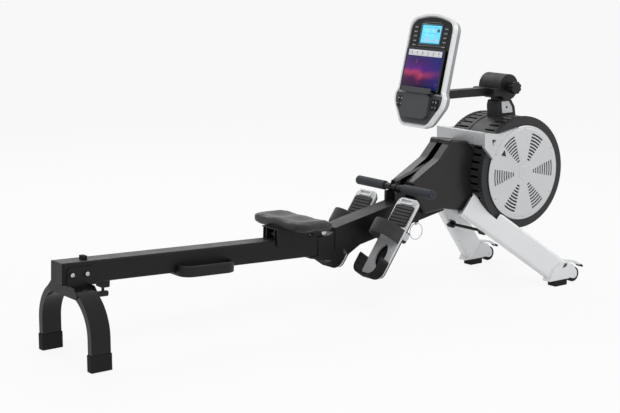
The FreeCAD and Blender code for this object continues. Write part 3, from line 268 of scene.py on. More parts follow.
def make_screen():
    """A generic abstract wash of colours on the tablet, from its own flat coordinates."""
    g = Graph("screen_wash")
    parts = g.add("SeparateXYZ", {0: g.where})
    warp = g.noise(14, 4, 0.6)
    height = g.math("ADD", parts.outputs["Z"], g.math("MULTIPLY", warp, 0.05))
    ramp = g.add("ValToRGB", {"Fac": g.remap(height, 0, 1, -0.05, 0.085)})
    stops = [(0.0, (0.006, 0.003, 0.020)), (0.26, (0.045, 0.004, 0.050)), (0.42, (0.30, 0.030, 0.080)),
             (0.56, (0.070, 0.012, 0.150)), (0.78, (0.040, 0.012, 0.085)), (1.0, (0.012, 0.020, 0.090))]
    ramp.color_ramp.elements.remove(ramp.color_ramp.elements[1])
    for place, colour in stops:
        stop = ramp.color_ramp.elements[0] if place == 0 else ramp.color_ramp.elements.new(place)
        stop.color = (*colour, 1)
    blue = g.remap(g.math("ADD", parts.outputs["Y"], g.math("MULTIPLY", g.noise(20, 3), 0.04)), 1, 0, -0.07, 0.03)
    tone = g.mix(g.math("MULTIPLY", blue, 0.75), ramp.outputs["Color"], (0.008, 0.022, 0.13, 1))
    spark = g.remap(g.noise(40, 5, 0.7), 0, 0.6, 0.60, 0.85)
    tone = g.mix(spark, tone, (0.45, 0.16, 0.34, 1))
    g.put(g.shader.inputs["Base Color"], tone)
    g.put(g.shader.inputs["Emission Color"], tone)
    g.shader.inputs["Emission Strength"].default_value = 0.6
    g.shader.inputs["Roughness"].default_value = 0.25
    g.shader.inputs["Specular IOR Level"].default_value = 0.08
    MATERIALS["screen_wash"] = g.material


make_finishes()
make_leather()
make_webbing()
make_display()
make_screen()
finish("key_face", (0.022, 0.022, 0.024), 0.4, mottle=0.1, spec=0.25)
finish("icon_white", (0.80, 0.81, 0.83), 0.4, mottle=0.03, edge=0)
finish("icon_grey", (0.35, 0.36, 0.38), 0.5, mottle=0.05, edge=0)
finish("icon_teal", (0.015, 0.12, 0.16), 0.3, mottle=0.1, edge=0)
# slot_dark is a flat dark colour: painted shade in the console vents and behind the fan covers, and the dark inlay of
# the disc marks.
finish("slot_dark", (0.006, 0.006, 0.007), 0.6, mottle=0.1, edge=0)

RECORD_SLOT = {part["node"]: part["material_slot"] for part in frame["record"]["subparts"]}
for name, cad in frame["nodes"].items():
    cad.data.materials.clear()
    cad.data.materials.append(MATERIALS[RECORD_SLOT[name]])


# ---------------------------------------------------------------- mesh helpers
def add_piece(name, mesh, body, finish_name, at=None, smooth=35):
    """Links a mesh as a piece of the object, in place, riding on its body."""
    made = bpy.data.objects.new(name, mesh)
    bpy.context.scene.collection.objects.link(made)
    mesh.materials.append(MATERIALS[finish_name])
    if smooth:
        for face in mesh.polygons:
            face.use_smooth = True
        mesh.set_sharp_from_angle(angle=math.radians(smooth))
    if at is not None:
        made.matrix_world = at
    if body:
        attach(made, body)
    return made


def to_mesh(bm, name):
    bmesh.ops.recalc_face_normals(bm, faces=bm.faces)
    mesh = bpy.data.meshes.new(name)
    bm.to_mesh(mesh)
    bm.free()
    return mesh


def round_outline(points, radius, steps=5):
    """A closed 2-D outline with its corners rounded."""
    out = []
    count = len(points)
    for i in range(count):
        here = Vector(points[i])
        before = Vector(points[i - 1]) - here
        after = Vector(points[(i + 1) % count]) - here
        r = radius[i] if isinstance(radius, (list, tuple)) else radius
        half = before.angle(after) / 2
        if r <= 0 or half > 1.55:
            out.append(here)
            continue
        back = min(r / math.tan(half), before.length * 0.49, after.length * 0.49)
        a, b = here + before.normalized() * back, here + after.normalized() * back
        for k in range(steps + 1):
            t = k / steps
            out.append(a * (1 - t) ** 2 + here * 2 * t * (1 - t) + b * t ** 2)
    return out


def slab_bm(outline, low, high, bevel=0.0, bm=None, place=None):
    """A 2-D outline in local Y-Z, thickened along local X from low to high, with a bevelled rim."""
    bm = bm or bmesh.new()
    rings = [(low, 0), (high, 0)]
    if bevel:
        rings = [(low, bevel), (low + bevel * 0.3, bevel * 0.3), (low + bevel, 0), (high - bevel, 0),
                 (high - bevel * 0.3, bevel * 0.3), (high, bevel)]
    centre = sum((Vector(p) for p in outline), Vector((0, 0))) / len(outline)
    layers = []
    for x, inset in rings:
        layer = []
        for p in outline:
            out = Vector(p) - centre
            moved = centre + out * (1 - inset / max(out.length, 1e-6))
            v = Vector((x, moved.x, moved.y))
            layer.append(bm.verts.new(place @ v if place else v))
        layers.append(layer)
    count = len(outline)
    for a, b in zip(layers, layers[1:]):
        for i in range(count):
            bm.faces.new((a[i], a[(i + 1) % count], b[(i + 1) % count], b[i]))
    bm.faces.new(layers[0][::-1])
    bm.faces.new(layers[-1])
    return bm


def oblong(y, z, width, height, radius, steps=4):
    """A rounded rectangle's outline about a centre."""
    a, b = width / 2, height / 2
    return round_outline([(y - a, z - b), (y + a, z - b), (y + a, z + b), (y - a, z + b)], radius, steps)


def lathe_bm(profile, centre, count=48, bm=None):
    """Turns (along, radius) pairs about the line along Y through centre."""
    bm = bm or bmesh.new()
    rings = []
    for place, radius in profile:
        ring = []
        for i in range(count):
            t = 2 * math.pi * i / count
            ring.append(bm.verts.new(centre + Vector((radius * math.cos(t), place, -radius * math.sin(t)))))
        rings.append(ring)
    for a, b in zip(rings, rings[1:]):
        for i in range(count):
            bm.faces.new((a[i], a[(i + 1) % count], b[(i + 1) % count], b[i]))
    bm.faces.new(rings[0][::-1])
    bm.faces.new(rings[-1])
    return bm


def bolt_bm(bm, centre, out, radius, height):
    """A button-head screw with a hexagon socket, standing out along a direction."""
    turn = Vector(out).to_track_quat("Z", "Y").to_matrix().to_4x4()
    put = Matrix.Translation(centre) @ turn
    profile = [(0, 1.0), (0.45, 1.0), (0.8, 0.82), (1.0, 0.55), (1.0, 0.46), (0.45, 0.42)]
    rings = []
    for k, (z, r) in enumerate(profile):
        count = 24
        ring = []
        for i in range(count):
            t = 2 * math.pi * i / count
            rr = r
            if k >= 4:
                rr = r * math.cos(math.pi / 6) / math.cos((t % (math.pi / 3)) - math.pi / 6)
            ring.append(bm.verts.new(put @ Vector((radius * rr * math.cos(t), radius * rr * math.sin(t), height * z))))
        rings.append(ring)
    for a, b in zip(rings, rings[1:]):
        for i in range(24):
            bm.faces.new((a[i], a[(i + 1) % 24], b[(i + 1) % 24], b[i]))
    bm.faces.new(rings[0][::-1])
    bm.faces.new(rings[-1])


# ---------------------------------------------------------------- seat
SEAT_REAR, SEAT_FRONT = 855 * MM, 1033 * MM
SEAT_LOW, SEAT_HIGH = 41 * MM, 75 * MM
SEAT_HALF = 155 * MM


def seat_height(u, y):
    """Height above the pad's mean top: raised rear rim and flanks, two dips and a falling front edge."""
    s = (u - SEAT_REAR) / (SEAT_FRONT - SEAT_REAR)
    t = y / SEAT_HALF
    rim = 5.0 * max(0.0, 1 - s / 0.35) ** 2
    flank = 5.0 * abs(t) ** 3
    dips = -8.0 * math.exp(-((abs(t) - 0.42) / 0.26) ** 2) * math.exp(-((s - 0.50) / 0.30) ** 2)
    front = -9.0 * max(0.0, (s - 0.62) / 0.38) ** 2 * (1 - 0.5 * abs(t))
    keel = 2.5 * math.exp(-(t / 0.16) ** 2) * (1 - s)
    return (rim + flank + dips + front + keel) * MM


def seat_outline(inset):
    """Plan of the pad: straight rear, rounded flanks and a front edge that draws in at the middle."""
    points = []
    count = 72
    for i in range(count):
        a = 2 * math.pi * i / count
        c, s = math.cos(a), math.sin(a)
        power = 0.36
        y = math.copysign(abs(s) ** power, s) * (SEAT_HALF - inset)
        u = math.copysign(abs(c) ** power, c) * ((SEAT_FRONT - SEAT_REAR) / 2 - inset)
        points.append(Vector(((SEAT_REAR + SEAT_FRONT) / 2 + u, y)))
    return points


def make_seat():
    shrink = 3 * MM
    bm = bmesh.new()
    middle = Vector(((SEAT_REAR + SEAT_FRONT) / 2, 0))
    outline = seat_outline(shrink)
    layers = []
    low, high = SEAT_LOW + 1.5 * MM, SEAT_HIGH - 7 * MM
    section = [
        (0, low, 9 * MM), (0, low + 3 * MM, 3 * MM), (0.2, low + 9 * MM, 0), (0.8, high - 8 * MM, 0),
        (1, high - 2.5 * MM, 2.5 * MM), (1, high, 8 * MM)]
    for lift, w, inset in section:
        layer = []
        for p in outline:
            out = p - middle
            q = middle + out * (1 - inset / out.length)
            layer.append(bm.verts.new((q.x, q.y, w + lift * seat_height(q.x, q.y))))
        layers.append(layer)
    count = len(outline)
    for a, b in zip(layers, layers[1:]):
        for i in range(count):
            bm.faces.new((a[i], a[(i + 1) % count], b[(i + 1) % count], b[i]))
    for layer, top in ((layers[0], 0), (layers[-1], 1)):
        ring = layer
        for step in range(1, 9):
            inner = []
            for v, p in zip(layer, outline):
                flat = Vector((v.co.x, v.co.y))
                q = middle + (flat - middle) * (1 - step / 9)
                z = (high if top else low) + top * seat_height(q.x, q.y)
                inner.append(bm.verts.new((q.x, q.y, z)))
            for i in range(count):
                j = (i + 1) % count
                bm.faces.new((ring[i], ring[j], inner[j], inner[i]))
            ring = inner
        bm.faces.new(ring)
    mesh = to_mesh(bm, "seat_cushion")
    seat = bpy.data.objects.new("seat_cushion", mesh)
    bpy.context.scene.collection.objects.link(seat)
    bpy.context.view_layer.objects.active = seat
    inflate(seat, 0.005, 3.4, 5 * MM)
    press_welt(seat)
    for face in seat.data.polygons:
        face.use_smooth = True
    seat.data.materials.append(MATERIALS["seat_cover"])
    seat.matrix_world = RAIL
    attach(seat, "seat")
    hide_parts("seat_pad")


def apply_modifiers(piece, add):
    """Adds modifiers and bakes them into the piece's mesh."""
    add()
    graph = bpy.context.evaluated_depsgraph_get()
    baked = bpy.data.meshes.new_from_object(piece.evaluated_get(graph))
    piece.modifiers.clear()
    old = piece.data
    piece.data = baked
    bpy.data.meshes.remove(old)


def inflate(piece, voxel, pressure, cap):
    """Remeshes a closed pad, blows it up a little as cloth and caps each point's travel."""
    def remesh():
        made = piece.modifiers.new("remesh", "REMESH")
        made.mode = "VOXEL"
        made.voxel_size = voxel
    apply_modifiers(piece, remesh)
    rest = np.array([v.co for v in piece.data.vertices])
    cloth = piece.modifiers.new("cloth", "CLOTH")
    cloth.settings.use_pressure = True
    cloth.settings.uniform_pressure_force = pressure
    cloth.settings.effector_weights.gravity = 0
    cloth.settings.quality = 5
    cloth.settings.tension_stiffness = 30
    cloth.settings.compression_stiffness = 30
    cloth.settings.bending_stiffness = 4
    scene = bpy.context.scene
    for number in range(1, 21):
        scene.frame_set(number)
    graph = bpy.context.evaluated_depsgraph_get()
    moved = piece.evaluated_get(graph).to_mesh()
    now = np.array([v.co for v in moved.vertices])
    piece.modifiers.clear()
    scene.frame_set(1)
    travel = now - rest
    length = np.linalg.norm(travel, axis=1, keepdims=True)
    now = rest + travel * np.minimum(1, cap / np.maximum(length, 1e-9))
    piece.data.vertices.foreach_set("co", now.astype(np.float32).ravel())
    piece.data.update()


def press_welt(seat):
    """Keeps the pad clear of its carriage, presses a welt line round its side, and smooths it."""
    welt = SEAT_LOW + 9 * MM
    for v in seat.data.vertices:
        v.co.z = max(v.co.z, SEAT_LOW + 0.3 * MM)
        near = math.exp(-((v.co.z - welt) / (2.2 * MM)) ** 2)
        out = Vector((v.co.x - (SEAT_REAR + SEAT_FRONT) / 2, v.co.y, 0))
        edge = max(abs(out.x) / ((SEAT_FRONT - SEAT_REAR) / 2), abs(out.y) / SEAT_HALF)
        if edge > 0.85:
            v.co -= out.normalized() * near * 1.6 * MM

    def smoothed():
        made = seat.modifiers.new("smooth", "SMOOTH")
        made.factor, made.iterations = 0.5, 3
        made = seat.modifiers.new("fine", "SUBSURF")
        made.levels = made.render_levels = 1
    apply_modifiers(seat, smoothed)


def make_seat_pan():
    """The hard pan under the cushion, with its rolled lip."""
    outline = [(p.x, p.y) for p in seat_outline(14 * MM)]
    flat = Matrix(((0, 1, 0, 0), (0, 0, 1, 0), (1, 0, 0, 0), (0, 0, 0, 1)))
    bm = slab_bm(outline, SEAT_LOW - 3.6 * MM, SEAT_LOW + 3 * MM, 2 * MM, place=flat)
    add_piece("seat_pan", to_mesh(bm, "seat_pan"), "seat", "black_plastic", RAIL)


make_seat()
make_seat_pan()


# ---------------------------------------------------------------- handle and its strap
def make_handle():
    for hand, side in SIDES:
        swell = 0.4 if side < 0 else 0.0
        profile = [(52, 13.2), (52.4, 16.6), (54, 17.6)]
        for k in range(30):
            y = 57 + k * 5.1
            profile.append((y, 17.2 + swell * math.sin(math.pi * k / 29) + 0.35 * (k % 2)))
        profile += [(210, 17.6), (213, 16.4), (214.6, 13.5), (215, 9.0), (214.2, 8.2), (213.9, 3.0)]
        points = [(side * y * MM, r * MM) for y, r in profile]
        bm = lathe_bm(points, BAR, 40)
        made = add_piece(hand + "_grip", to_mesh(bm, hand + "_grip"), "handle", "grip_foam", smooth=60)
        if side > 0:
            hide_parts("handle_grips")
    bm = bmesh.new()
    for side in (1, -1):
        points = [(side * y * MM, r * MM) for y, r in ((46.5, 13.1), (47, 14.4), (50.5, 14.4), (51, 13.1))]
        lathe_bm(points, BAR, 40, bm)
    add_piece("grip_collars", to_mesh(bm, "grip_collars"), "handle", "rubber")


def strap_mesh(name, path, width, thick):
    """A flat strap that follows points, with rounded selvedges."""
    bm = bmesh.new()
    half = width / 2
    ring_shape = [(-half, -0.3), (-half + thick * 0.5, -0.5), (-half * 0.5, -0.5), (half * 0.5, -0.5),
                  (half - thick * 0.5, -0.5), (half, -0.3), (half, 0.3), (half - thick * 0.5, 0.5),
                  (half * 0.5, 0.5), (-half * 0.5, 0.5), (-half + thick * 0.5, 0.5), (-half, 0.3)]
    rings = []
    for i, (point, across) in enumerate(path):
        ahead = path[min(i + 1, len(path) - 1)][0] - path[max(i - 1, 0)][0]
        up = ahead.cross(across).normalized()
        rings.append([bm.verts.new(point + across * a + up * (b * thick)) for a, b in ring_shape])
    count = len(ring_shape)
    for a, b in zip(rings, rings[1:]):
        for i in range(count):
            bm.faces.new((a[i], a[(i + 1) % count], b[(i + 1) % count], b[i]))
    bm.faces.new(rings[0][::-1])
    bm.faces.new(rings[-1])
    return to_mesh(bm, name)


def make_pull_strap():
    low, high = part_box("pull_strap")
    start, end = Vector((low.x + 0.3 * MM, 0, low.z + 0.9 * MM)), Vector((high.x, 0, high.z - 0.8 * MM))
    path = [(start.lerp(end, i / 80), Vector((0, 1, 0))) for i in range(81)]
    mesh = strap_mesh("pull_webbing", path, 24 * MM, 1.6 * MM)
    made = add_piece("pull_webbing", mesh, None, "strap_webbing", smooth=50)
    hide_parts("pull_strap")
    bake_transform(made)


make_handle()
make_pull_strap()


# ---------------------------------------------------------------- footplates
def make_foot_straps():
    for hand, side in SIDES:
        path = []
        half, top, foot = 56.2 * MM, 84.0 * MM, 22 * MM
        count = 44
        for i in range(count + 1):
            t = math.pi * i / count
            y = half * math.cos(t)
            z = foot + (top - foot) * math.sin(t) ** 0.8
            path.append(Vector((0, y, z)))
        path = [Vector((0, half, 1 * MM)), Vector((0, half, 12 * MM))] + path
        path += [Vector((0, -half, 12 * MM)), Vector((0, -half, 1 * MM))]
        centre = [(p + Vector((175 * MM, 0, 0)), Vector((1, 0, 0))) for p in path]
        mesh = strap_mesh(hand + "_instep_strap", centre, 57 * MM, 2.8 * MM)
        made = add_piece(hand + "_instep_strap", mesh, hand + "_pedal", "strap_webbing", PEDAL[hand], smooth=50)
        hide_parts(hand + "_foot_strap")
        pad = [(p + Vector((175 * MM, 0, 2.6 * MM * math.sin(math.pi * i / 24))), Vector((1, 0, 0)))
               for i, p in enumerate(path[12:37])]
        mesh = strap_mesh(hand + "_strap_overlap", pad, 50 * MM, 2.4 * MM)
        add_piece(hand + "_strap_overlap", mesh, hand + "_pedal", "strap_webbing", PEDAL[hand], smooth=50)


def make_heel_ribs():
    """Raised ribs round each heel cup and the screws of the footplate."""
    for hand, side in SIDES:
        bm = bmesh.new()
        for place in ((112, 44), (112, -44), (158, 46), (158, -46), (312, 46), (312, -46)):
            bolt_bm(bm, Vector((place[0] * MM, place[1] * MM, 0)), (0, 0, 1), 3.6 * MM, 2.0 * MM)
        add_piece(hand + "_plate_screws", to_mesh(bm, "plate_screws"), hand + "_pedal", "steel", PEDAL[hand])
        bm = bmesh.new()
        for k in range(9):
            z = (4 + 4.5 * k) * MM
            rim = [(60 * MM, 62.3 * MM)]
            for i in range(25):
                a = math.radians(90 + 90 * i / 24)
                rim.append((27 * MM + 34.3 * MM * math.cos(a), 28 * MM + 34.3 * MM * math.sin(a)))
            rim += [(x, -y) for x, y in reversed(rim)]
            path = [(Vector((x, y, z)), Vector((0, 0, 1))) for x, y in rim]
            mesh = strap_mesh("rib", path, 1.8 * MM, 1.6 * MM)
            bm.from_mesh(mesh)
            bpy.data.meshes.remove(mesh)
        add_piece(hand + "_heel_ribs", to_mesh(bm, "heel_ribs"), hand + "_pedal", "black_plastic", PEDAL[hand])


make_foot_straps()
make_heel_ribs()


# ---------------------------------------------------------------- console
def console_slab(name, outline, low, high, finish_name, bevel=0.3 * MM, body="console"):
    bm = bmesh.new()
    for one in outline:
        slab_bm(one, low, high, bevel, bm)
    return add_piece(name, to_mesh(bm, name), body, finish_name, CONSOLE)


def mm_oblong(y, z, width, height, radius):
    return oblong(y * MM, z * MM, width * MM, height * MM, radius * MM)


SEGMENTS = {0: "abcdef", 1: "bc", 2: "abged", 3: "abgcd", 4: "fgbc", 5: "afgcd", 6: "afgedc", 7: "abc",
            8: "abcdefg", 9: "abcdfg"}


def digit(value, y, z, height):
    """Seven-segment bars of one digit; the rower's right is -Y."""
    w, h, t = height * 0.5, height / 2, height * 0.13
    bars = {"a": (0, h, w, t), "g": (0, 0, w, t), "d": (0, -h, w, t), "b": (-w / 2, h / 2, t, h),
            "c": (-w / 2, -h / 2, t, h), "f": (w / 2, h / 2, t, h), "e": (w / 2, -h / 2, t, h)}
    return [mm_oblong(y + bars[s][0], z + bars[s][1], bars[s][2] * 0.92, bars[s][3] * 0.92, t * 0.3)
            for s in SEGMENTS[value]]


def make_console_face():
    sills = [mm_oblong(0, 135 + side * 36.5, 118, 6, 1.5) for _, side in SIDES]
    sills += [mm_oblong(side * 56, 135, 6, 74, 1.5) for _, side in SIDES]
    console_slab("display_frame", sills, 1.2 * MM, 3.1 * MM, "icon_teal")
    shapes = []
    for k, value in enumerate((1, 2, 4, 8)):
        shapes += digit(value, 30 - 19 * k, 150, 16)
    for k, value in enumerate((2, 5, 0)):
        shapes += digit(value, 36 - 13 * k, 124, 11)
    for k, value in enumerate((3, 6)):
        shapes += digit(value, -18 - 13 * k, 124, 11)
    for k in range(9):
        height = 3 + 1.6 * ((k * 5) % 6)
        shapes.append(mm_oblong(40 - 10 * k, 107 + height / 2, 6, height, 0.6))
    console_slab("display_digits", shapes, 2.5 * MM, 2.95 * MM, "icon_white", 0.1 * MM)
    keys, marks = [], []
    for side in (1, -1):
        for k in range(5):
            y, z = side * (84 - 0.6 * k), 158 - 17 * k
            keys.append(mm_oblong(y, z, 24, 10.5, 3))
            marks.append(mm_oblong(y + 4, z, 7, 1.6, 0.5))
            marks.append(mm_oblong(y - 5, z, 3.2, 3.2, 1.2))
    console_slab("membrane_keys", keys, 0.4 * MM, 2.1 * MM, "key_face")
    console_slab("key_marks", marks, 0.1 * MM, 0.6 * MM, "icon_white", 0.1 * MM)
    glow = [mm_oblong(40 - 10 * k, 160, 6, 1.4, 0.5) for k in range(9)]
    glow += [mm_oblong(0, 138.5, 92, 0.8, 0.3), mm_oblong(-38, 150, 14, 12, 2)]
    console_slab("display_bars", glow, 2.5 * MM, 2.95 * MM, "icon_teal", 0.1 * MM)
    # Painted shade: thin dark strips stand for the shade inside the vent slots; no slots are cut.
    vent_shade = [mm_oblong(0, -60 - 8 * k, 70, 3, 1.4) for k in range(6)]
    console_slab("console_vent_shade", vent_shade, 47.8 * MM, 48.15 * MM, "slot_dark", 0.05 * MM)
    bm = bmesh.new()
    for y, z in ((74, 150), (-74, 150), (74, -20), (-74, -20), (50, -150), (-50, -150)):
        bolt_bm(bm, Vector((48 * MM, y * MM, z * MM)), (1, 0, 0), 4.0 * MM, 1.5 * MM)
    add_piece("console_screws", to_mesh(bm, "console_screws"), "console", "steel", CONSOLE)
    lines = [mm_oblong(0, 90.5, 150, 0.9, 0.3), mm_oblong(0, 180, 96, 0.9, 0.3)]
    console_slab("fascia_lines", lines, 1.5 * MM, 2.1 * MM, "icon_grey", 0.1 * MM)


def make_tablet():
    console_slab("tablet_screen", [mm_oblong(0, -1, 198, 148, 2)], -7.45 * MM, -6.9 * MM, "screen_wash", 0.1 * MM)
    console_slab("tablet_bar", [mm_oblong(0, 61, 186, 22, 1.5)], -7.75 * MM, -7.4 * MM, "icon_white", 0.1 * MM)
    marks = []
    for k in range(6):
        y = 75 - 30 * k
        marks.append(mm_oblong(y, 62.5, 7, 7, 3.2 if k % 2 else 1))
        marks.append(mm_oblong(y, 54.6, 12, 1.6, 0.5))
    console_slab("tablet_marks", marks, -7.95 * MM, -7.7 * MM, "icon_grey", 0.1 * MM)


def make_console_keys():
    for hand, side in SIDES:
        y0 = 97 * side
        caps = [mm_oblong(y0 + dy, -127 + dz, 14.4, 18.4, 2.5) for dy in (-8, 8) for dz in (-10, 10)]
        console_slab(hand + "_key_caps", caps, -4.4 * MM, -2.8 * MM, "black_plastic", 0.6 * MM, hand + "_key")
        marks = [mm_oblong(y0 + dy, -127 + dz, 6, 1.5, 0.4) for dy in (-8, 8) for dz in (-10, 10)]
        marks += [mm_oblong(y0 + dy, -117, 1.5, 6, 0.4) for dy in (-8, 8)]
        console_slab(hand + "_key_marks", marks, -4.7 * MM, -4.3 * MM, "icon_white", 0.1 * MM, hand + "_key")


make_console_face()
make_tablet()
make_console_keys()


# ---------------------------------------------------------------- fan drum, wheel hubs and fasteners
def slotted(radius, angle):
    """Whether a point of the cover, in mm and degrees, lies in one of its six fans of nine arc slots."""
    turn = (angle + 28) % 60 - 30
    if not 52 <= radius <= 160:
        return False
    half = math.degrees(math.atan2(7.0 + 28.0 * (radius - 52) / 108, radius))
    return abs(turn) < half and (radius - 52) % 12.4 < 6.6


def make_covers():
    """The slotted silver discs, dished a little at the rim, over a flat dark disc of painted shade that darkens the
    slots.
    """
    radii = [24, 30]
    for k in range(9):
        radii += [52 + 12.4 * k, 52 + 12.4 * k + 6.6]
    radii += [166, 174, 176.5, 178, 181, 184, 185]
    count = 360
    for hand, side in SIDES:
        bm = bmesh.new()
        rows = []
        for r in radii:
            depth = 130.0
            if 174 < r <= 178:
                depth = 128.9
            if r > 178:
                depth = 130.0 - 3.0 * ((r - 178) / 7) ** 2
            row = []
            for i in range(count):
                a = math.radians(i)
                row.append(bm.verts.new((AXLE_X + r * MM * math.cos(a), side * depth * MM,
                                         AXLE_Z + r * MM * math.sin(a))))
            rows.append(row)
        bm.faces.new(rows[0])
        for k, (a, b) in enumerate(zip(rows, rows[1:])):
            middle = (radii[k] + radii[k + 1]) / 2
            for i in range(count):
                if not slotted(middle, i + 0.5):
                    bm.faces.new((a[i], a[(i + 1) % count], b[(i + 1) % count], b[i]))
        loose = [v for v in bm.verts if not v.link_faces]
        bmesh.ops.delete(bm, geom=loose, context="VERTS")
        mesh = to_mesh(bm, hand + "_cover")
        made = bpy.data.objects.new(hand + "_cover", mesh)
        bpy.context.scene.collection.objects.link(made)
        thick = made.modifiers.new("thick", "SOLIDIFY")
        thick.thickness, thick.offset = 4.0 * MM, -1.0
        facing = sum(f.normal.y * f.area for f in mesh.polygons)
        if facing * side < 0:
            mesh.flip_normals()
        apply_modifiers(made, lambda: None)
        baked = made.data
        bpy.data.objects.remove(made)
        made = add_piece(hand + "_cover", baked, "front_frame", "disc_silver", smooth=30)
        bm = bmesh.new()
        # Painted shade: a flat dark disc behind each cover stands for the shade seen through its slots.
        lathe_bm([(side * 123.2 * MM, 163 * MM), (side * 123.9 * MM, 163 * MM)], Vector((AXLE_X, 0, AXLE_Z)),
                 96, bm)
        add_piece(hand + "_cover_shade_sheet", to_mesh(bm, "cover_shade_sheet"), "front_frame", "slot_dark")
        if side > 0:
            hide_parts("fan_covers")


make_covers()


def make_drum_details():
    for hand, side in SIDES:
        face = 130 * MM
        bm = bmesh.new()
        hub = [(face - 0.5 * MM, 26), (face + 0.6 * MM, 26), (face + 1.4 * MM, 24.5), (face + 1.4 * MM, 21),
               (face + 0.7 * MM, 20), (face + 0.9 * MM, 3)]
        lathe_bm([(side * y, r * MM) for y, r in hub], Vector((AXLE_X, 0, AXLE_Z)), 64, bm)
        add_piece(hand + "_hub_cap", to_mesh(bm, "hub_cap"), "front_frame", "disc_silver")
        bm = bmesh.new()
        for k in range(6):
            a = math.radians(30 + 60 * k)
            at = Vector((AXLE_X + 172 * MM * math.cos(a), side * face, AXLE_Z + 172 * MM * math.sin(a)))
            bolt_bm(bm, at, (0, side, 0), 3.4 * MM, 1.8 * MM)
        add_piece(hand + "_disc_screws", to_mesh(bm, "disc_screws"), "front_frame", "steel")


def make_rim_ribs():
    """Short dark grooves round both edges of the drum, as its outer vent teeth show."""
    for hand, side in SIDES:
        bm = bmesh.new()
        for k in range(96):
            turn = Matrix.Translation((AXLE_X, 0, AXLE_Z)) @ Matrix.Rotation(2 * math.pi * k / 96, 4, "Y")
            out = Matrix(((0, 1, 0, 0), (0, 0, 1, 0), (1, 0, 0, 0), (0, 0, 0, 1)))
            slab_bm(oblong(0, side * 112 * MM, 6.5 * MM, 15 * MM, 2 * MM, 2), 214.0 * MM, 220.6 * MM, 0.6 * MM, bm,
                    turn @ out)
        add_piece(hand + "_rim_ribs", to_mesh(bm, "rim_ribs"), "front_frame", "drum_plastic")


def make_wheel_hubs():
    """A pale hub with five spokes on the outer side of each transport wheel."""
    for hand, side in SIDES:
        low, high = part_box(hand + "_transport_wheel")
        centre = Vector(JOINT[hand + "_wheel_spin"]["pos_m"])
        outer = (high.y if side > 0 else low.y) - centre.y
        bm = bmesh.new()
        lathe_bm([(outer, 18 * MM), (outer + side * 0.8 * MM, 17.5 * MM), (outer + side * 0.8 * MM, 14.5 * MM),
                  (outer + side * 0.2 * MM, 14 * MM), (outer + side * 0.2 * MM, 8 * MM),
                  (outer + side * 1.4 * MM, 7.5 * MM), (outer + side * 1.6 * MM, 5.6 * MM)], centre, 48, bm)
        place = Matrix.Translation(centre)
        for k in range(5):
            spoke = place @ Matrix.Rotation(2 * math.pi * k / 5, 4, "Y")
            flat = Matrix(((0, 0, 1, 0), (1, 0, 0, 0), (0, 1, 0, 0), (0, 0, 0, 1)))
            ends = sorted((outer, outer + side * 0.9 * MM))
            slab_bm(oblong(0, 11.2 * MM, 3.2 * MM, 8 * MM, 1 * MM), ends[0], ends[1], 0.2 * MM, bm, spoke @ flat)
        add_piece(hand + "_wheel_hub", to_mesh(bm, "wheel_hub"), hand + "_wheel", "console_grey")


def make_fasteners():
    """Button-head bolts where plates meet tubes, each set riding on its own body."""
    bm = bmesh.new()
    for side in (1, -1):
        for u in (34, 88):
            bolt_bm(bm, Vector((u * MM, side * 46 * MM, -40 * MM)), (0, side, 0), 7.2 * MM, 1.8 * MM)
    add_piece("saddle_bolts", to_mesh(bm, "saddle_bolts"), "rail", "steel", RAIL)
    for hand, side in SIDES:
        bm = bmesh.new()
        points = [(-132, 78), (-104, 112), (-92, 66)]
        outline = [(AXLE_X + x * MM, AXLE_Z + z * MM) for x, z in points]
        flat = Matrix(((0, 1, 0, 0), (1, 0, 0, 0), (0, 0, 1, 0), (0, 0, 0, 1)))
        ends = sorted((side * 129.8 * MM, side * 130.5 * MM))
        slab_bm(round_outline(outline, 5 * MM), ends[0], ends[1], 0.2 * MM, bm, flat)
        add_piece(hand + "_disc_mark", to_mesh(bm, "disc_mark"), "front_frame", "silver_trim")
        bm = bmesh.new()
        inner = [(AXLE_X + x * MM, AXLE_Z + z * MM) for x, z in ((-124, 80), (-106, 101), (-98, 73))]
        ends = sorted((side * 130.3 * MM, side * 130.9 * MM))
        slab_bm(round_outline(inner, 3 * MM), ends[0], ends[1], 0.2 * MM, bm, flat)
        add_piece(hand + "_mark_inlay", to_mesh(bm, "mark_inlay"), "front_frame", "slot_dark")


make_drum_details()
make_rim_ribs()
make_wheel_hubs()
make_fasteners()

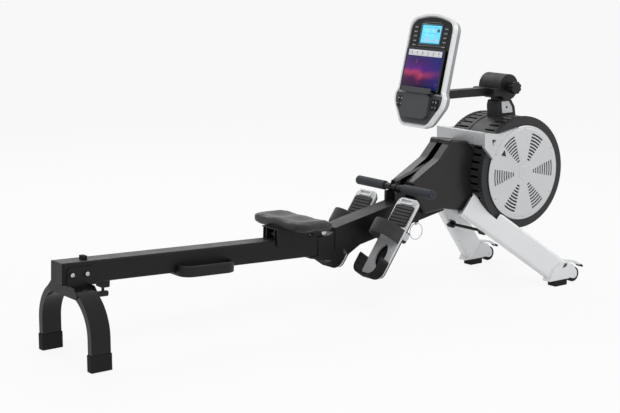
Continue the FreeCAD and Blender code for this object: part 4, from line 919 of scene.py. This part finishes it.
# ---------------------------------------------------------------- floor, world and lamps
def seen_white(tree, shader, amount, white):
    """Mixes a shader with plain white where the camera, a gloss or a glass ray sees it directly."""
    path = tree.nodes.new("ShaderNodeLightPath")
    total = tree.nodes.new("ShaderNodeMath")
    total.operation = "ADD"
    tree.links.new(path.outputs["Is Camera Ray"], total.inputs[0])
    tree.links.new(path.outputs["Is Glossy Ray"], total.inputs[1])
    both = tree.nodes.new("ShaderNodeMath")
    both.operation = "ADD"
    both.use_clamp = True
    tree.links.new(total.outputs[0], both.inputs[0])
    tree.links.new(path.outputs["Is Transmission Ray"], both.inputs[1])
    share = tree.nodes.new("ShaderNodeMath")
    share.operation = "MULTIPLY"
    share.inputs[1].default_value = amount
    tree.links.new(both.outputs[0], share.inputs[0])
    mix = tree.nodes.new("ShaderNodeMixShader")
    tree.links.new(share.outputs[0], mix.inputs["Fac"])
    tree.links.new(shader, mix.inputs[1])
    tree.links.new(white, mix.inputs[2])
    return mix.outputs[0]


def make_stage():
    half = 30.0
    mesh = bpy.data.meshes.new("floor")
    mesh.from_pydata([(-half, -half, 0), (half, -half, 0), (half, half, 0), (-half, half, 0)], [], [(0, 1, 2, 3)])
    floor = bpy.data.objects.new("floor", mesh)
    bpy.context.scene.collection.objects.link(floor)
    made = bpy.data.materials.new("floor")
    made.use_nodes = True
    tree = made.node_tree
    shader = tree.nodes["Principled BSDF"]
    shader.inputs["Base Color"].default_value = (0.86, 0.86, 0.86, 1)
    shader.inputs["Roughness"].default_value = 0.7
    shader.inputs["Specular IOR Level"].default_value = 0.2
    white = tree.nodes.new("ShaderNodeEmission")
    out = seen_white(tree, shader.outputs[0], 0.88, white.outputs[0])
    tree.links.new(out, tree.nodes["Material Output"].inputs["Surface"])
    mesh.materials.append(made)
    world = bpy.data.worlds.new("studio")
    world.use_nodes = True
    bpy.context.scene.world = world
    tree = world.node_tree
    ambient = tree.nodes["Background"]
    ambient.inputs["Color"].default_value = (0.97, 0.985, 1.0, 1)
    ambient.inputs["Strength"].default_value = 0.50
    white = tree.nodes.new("ShaderNodeBackground")
    white.inputs["Color"].default_value = (1, 1, 1, 1)
    out = seen_white(tree, ambient.outputs[0], 1.0, white.outputs[0])
    tree.links.new(out, tree.nodes["World Output"].inputs["Surface"])


def make_lamp(name, place, target, size, power):
    lamp = bpy.data.lights.new(name, "AREA")
    lamp.shape = "RECTANGLE"
    lamp.size, lamp.size_y = size
    lamp.energy = power
    made = bpy.data.objects.new(name, lamp)
    bpy.context.scene.collection.objects.link(made)
    made.location = place
    made.rotation_euler = (Vector(target) - Vector(place)).to_track_quat("-Z", "Y").to_euler()


make_stage()
make_lamp("key", (-1.6, -2.6, 3.6), (0, 0, 0.4), (2.6, 2.0), 62)
make_lamp("fill", (3.4, -2.2, 2.2), (0.3, 0, 0.4), (2.0, 2.0), 26)
make_lamp("back", (0.6, 3.2, 3.0), (0, 0, 0.4), (3.0, 1.5), 40)
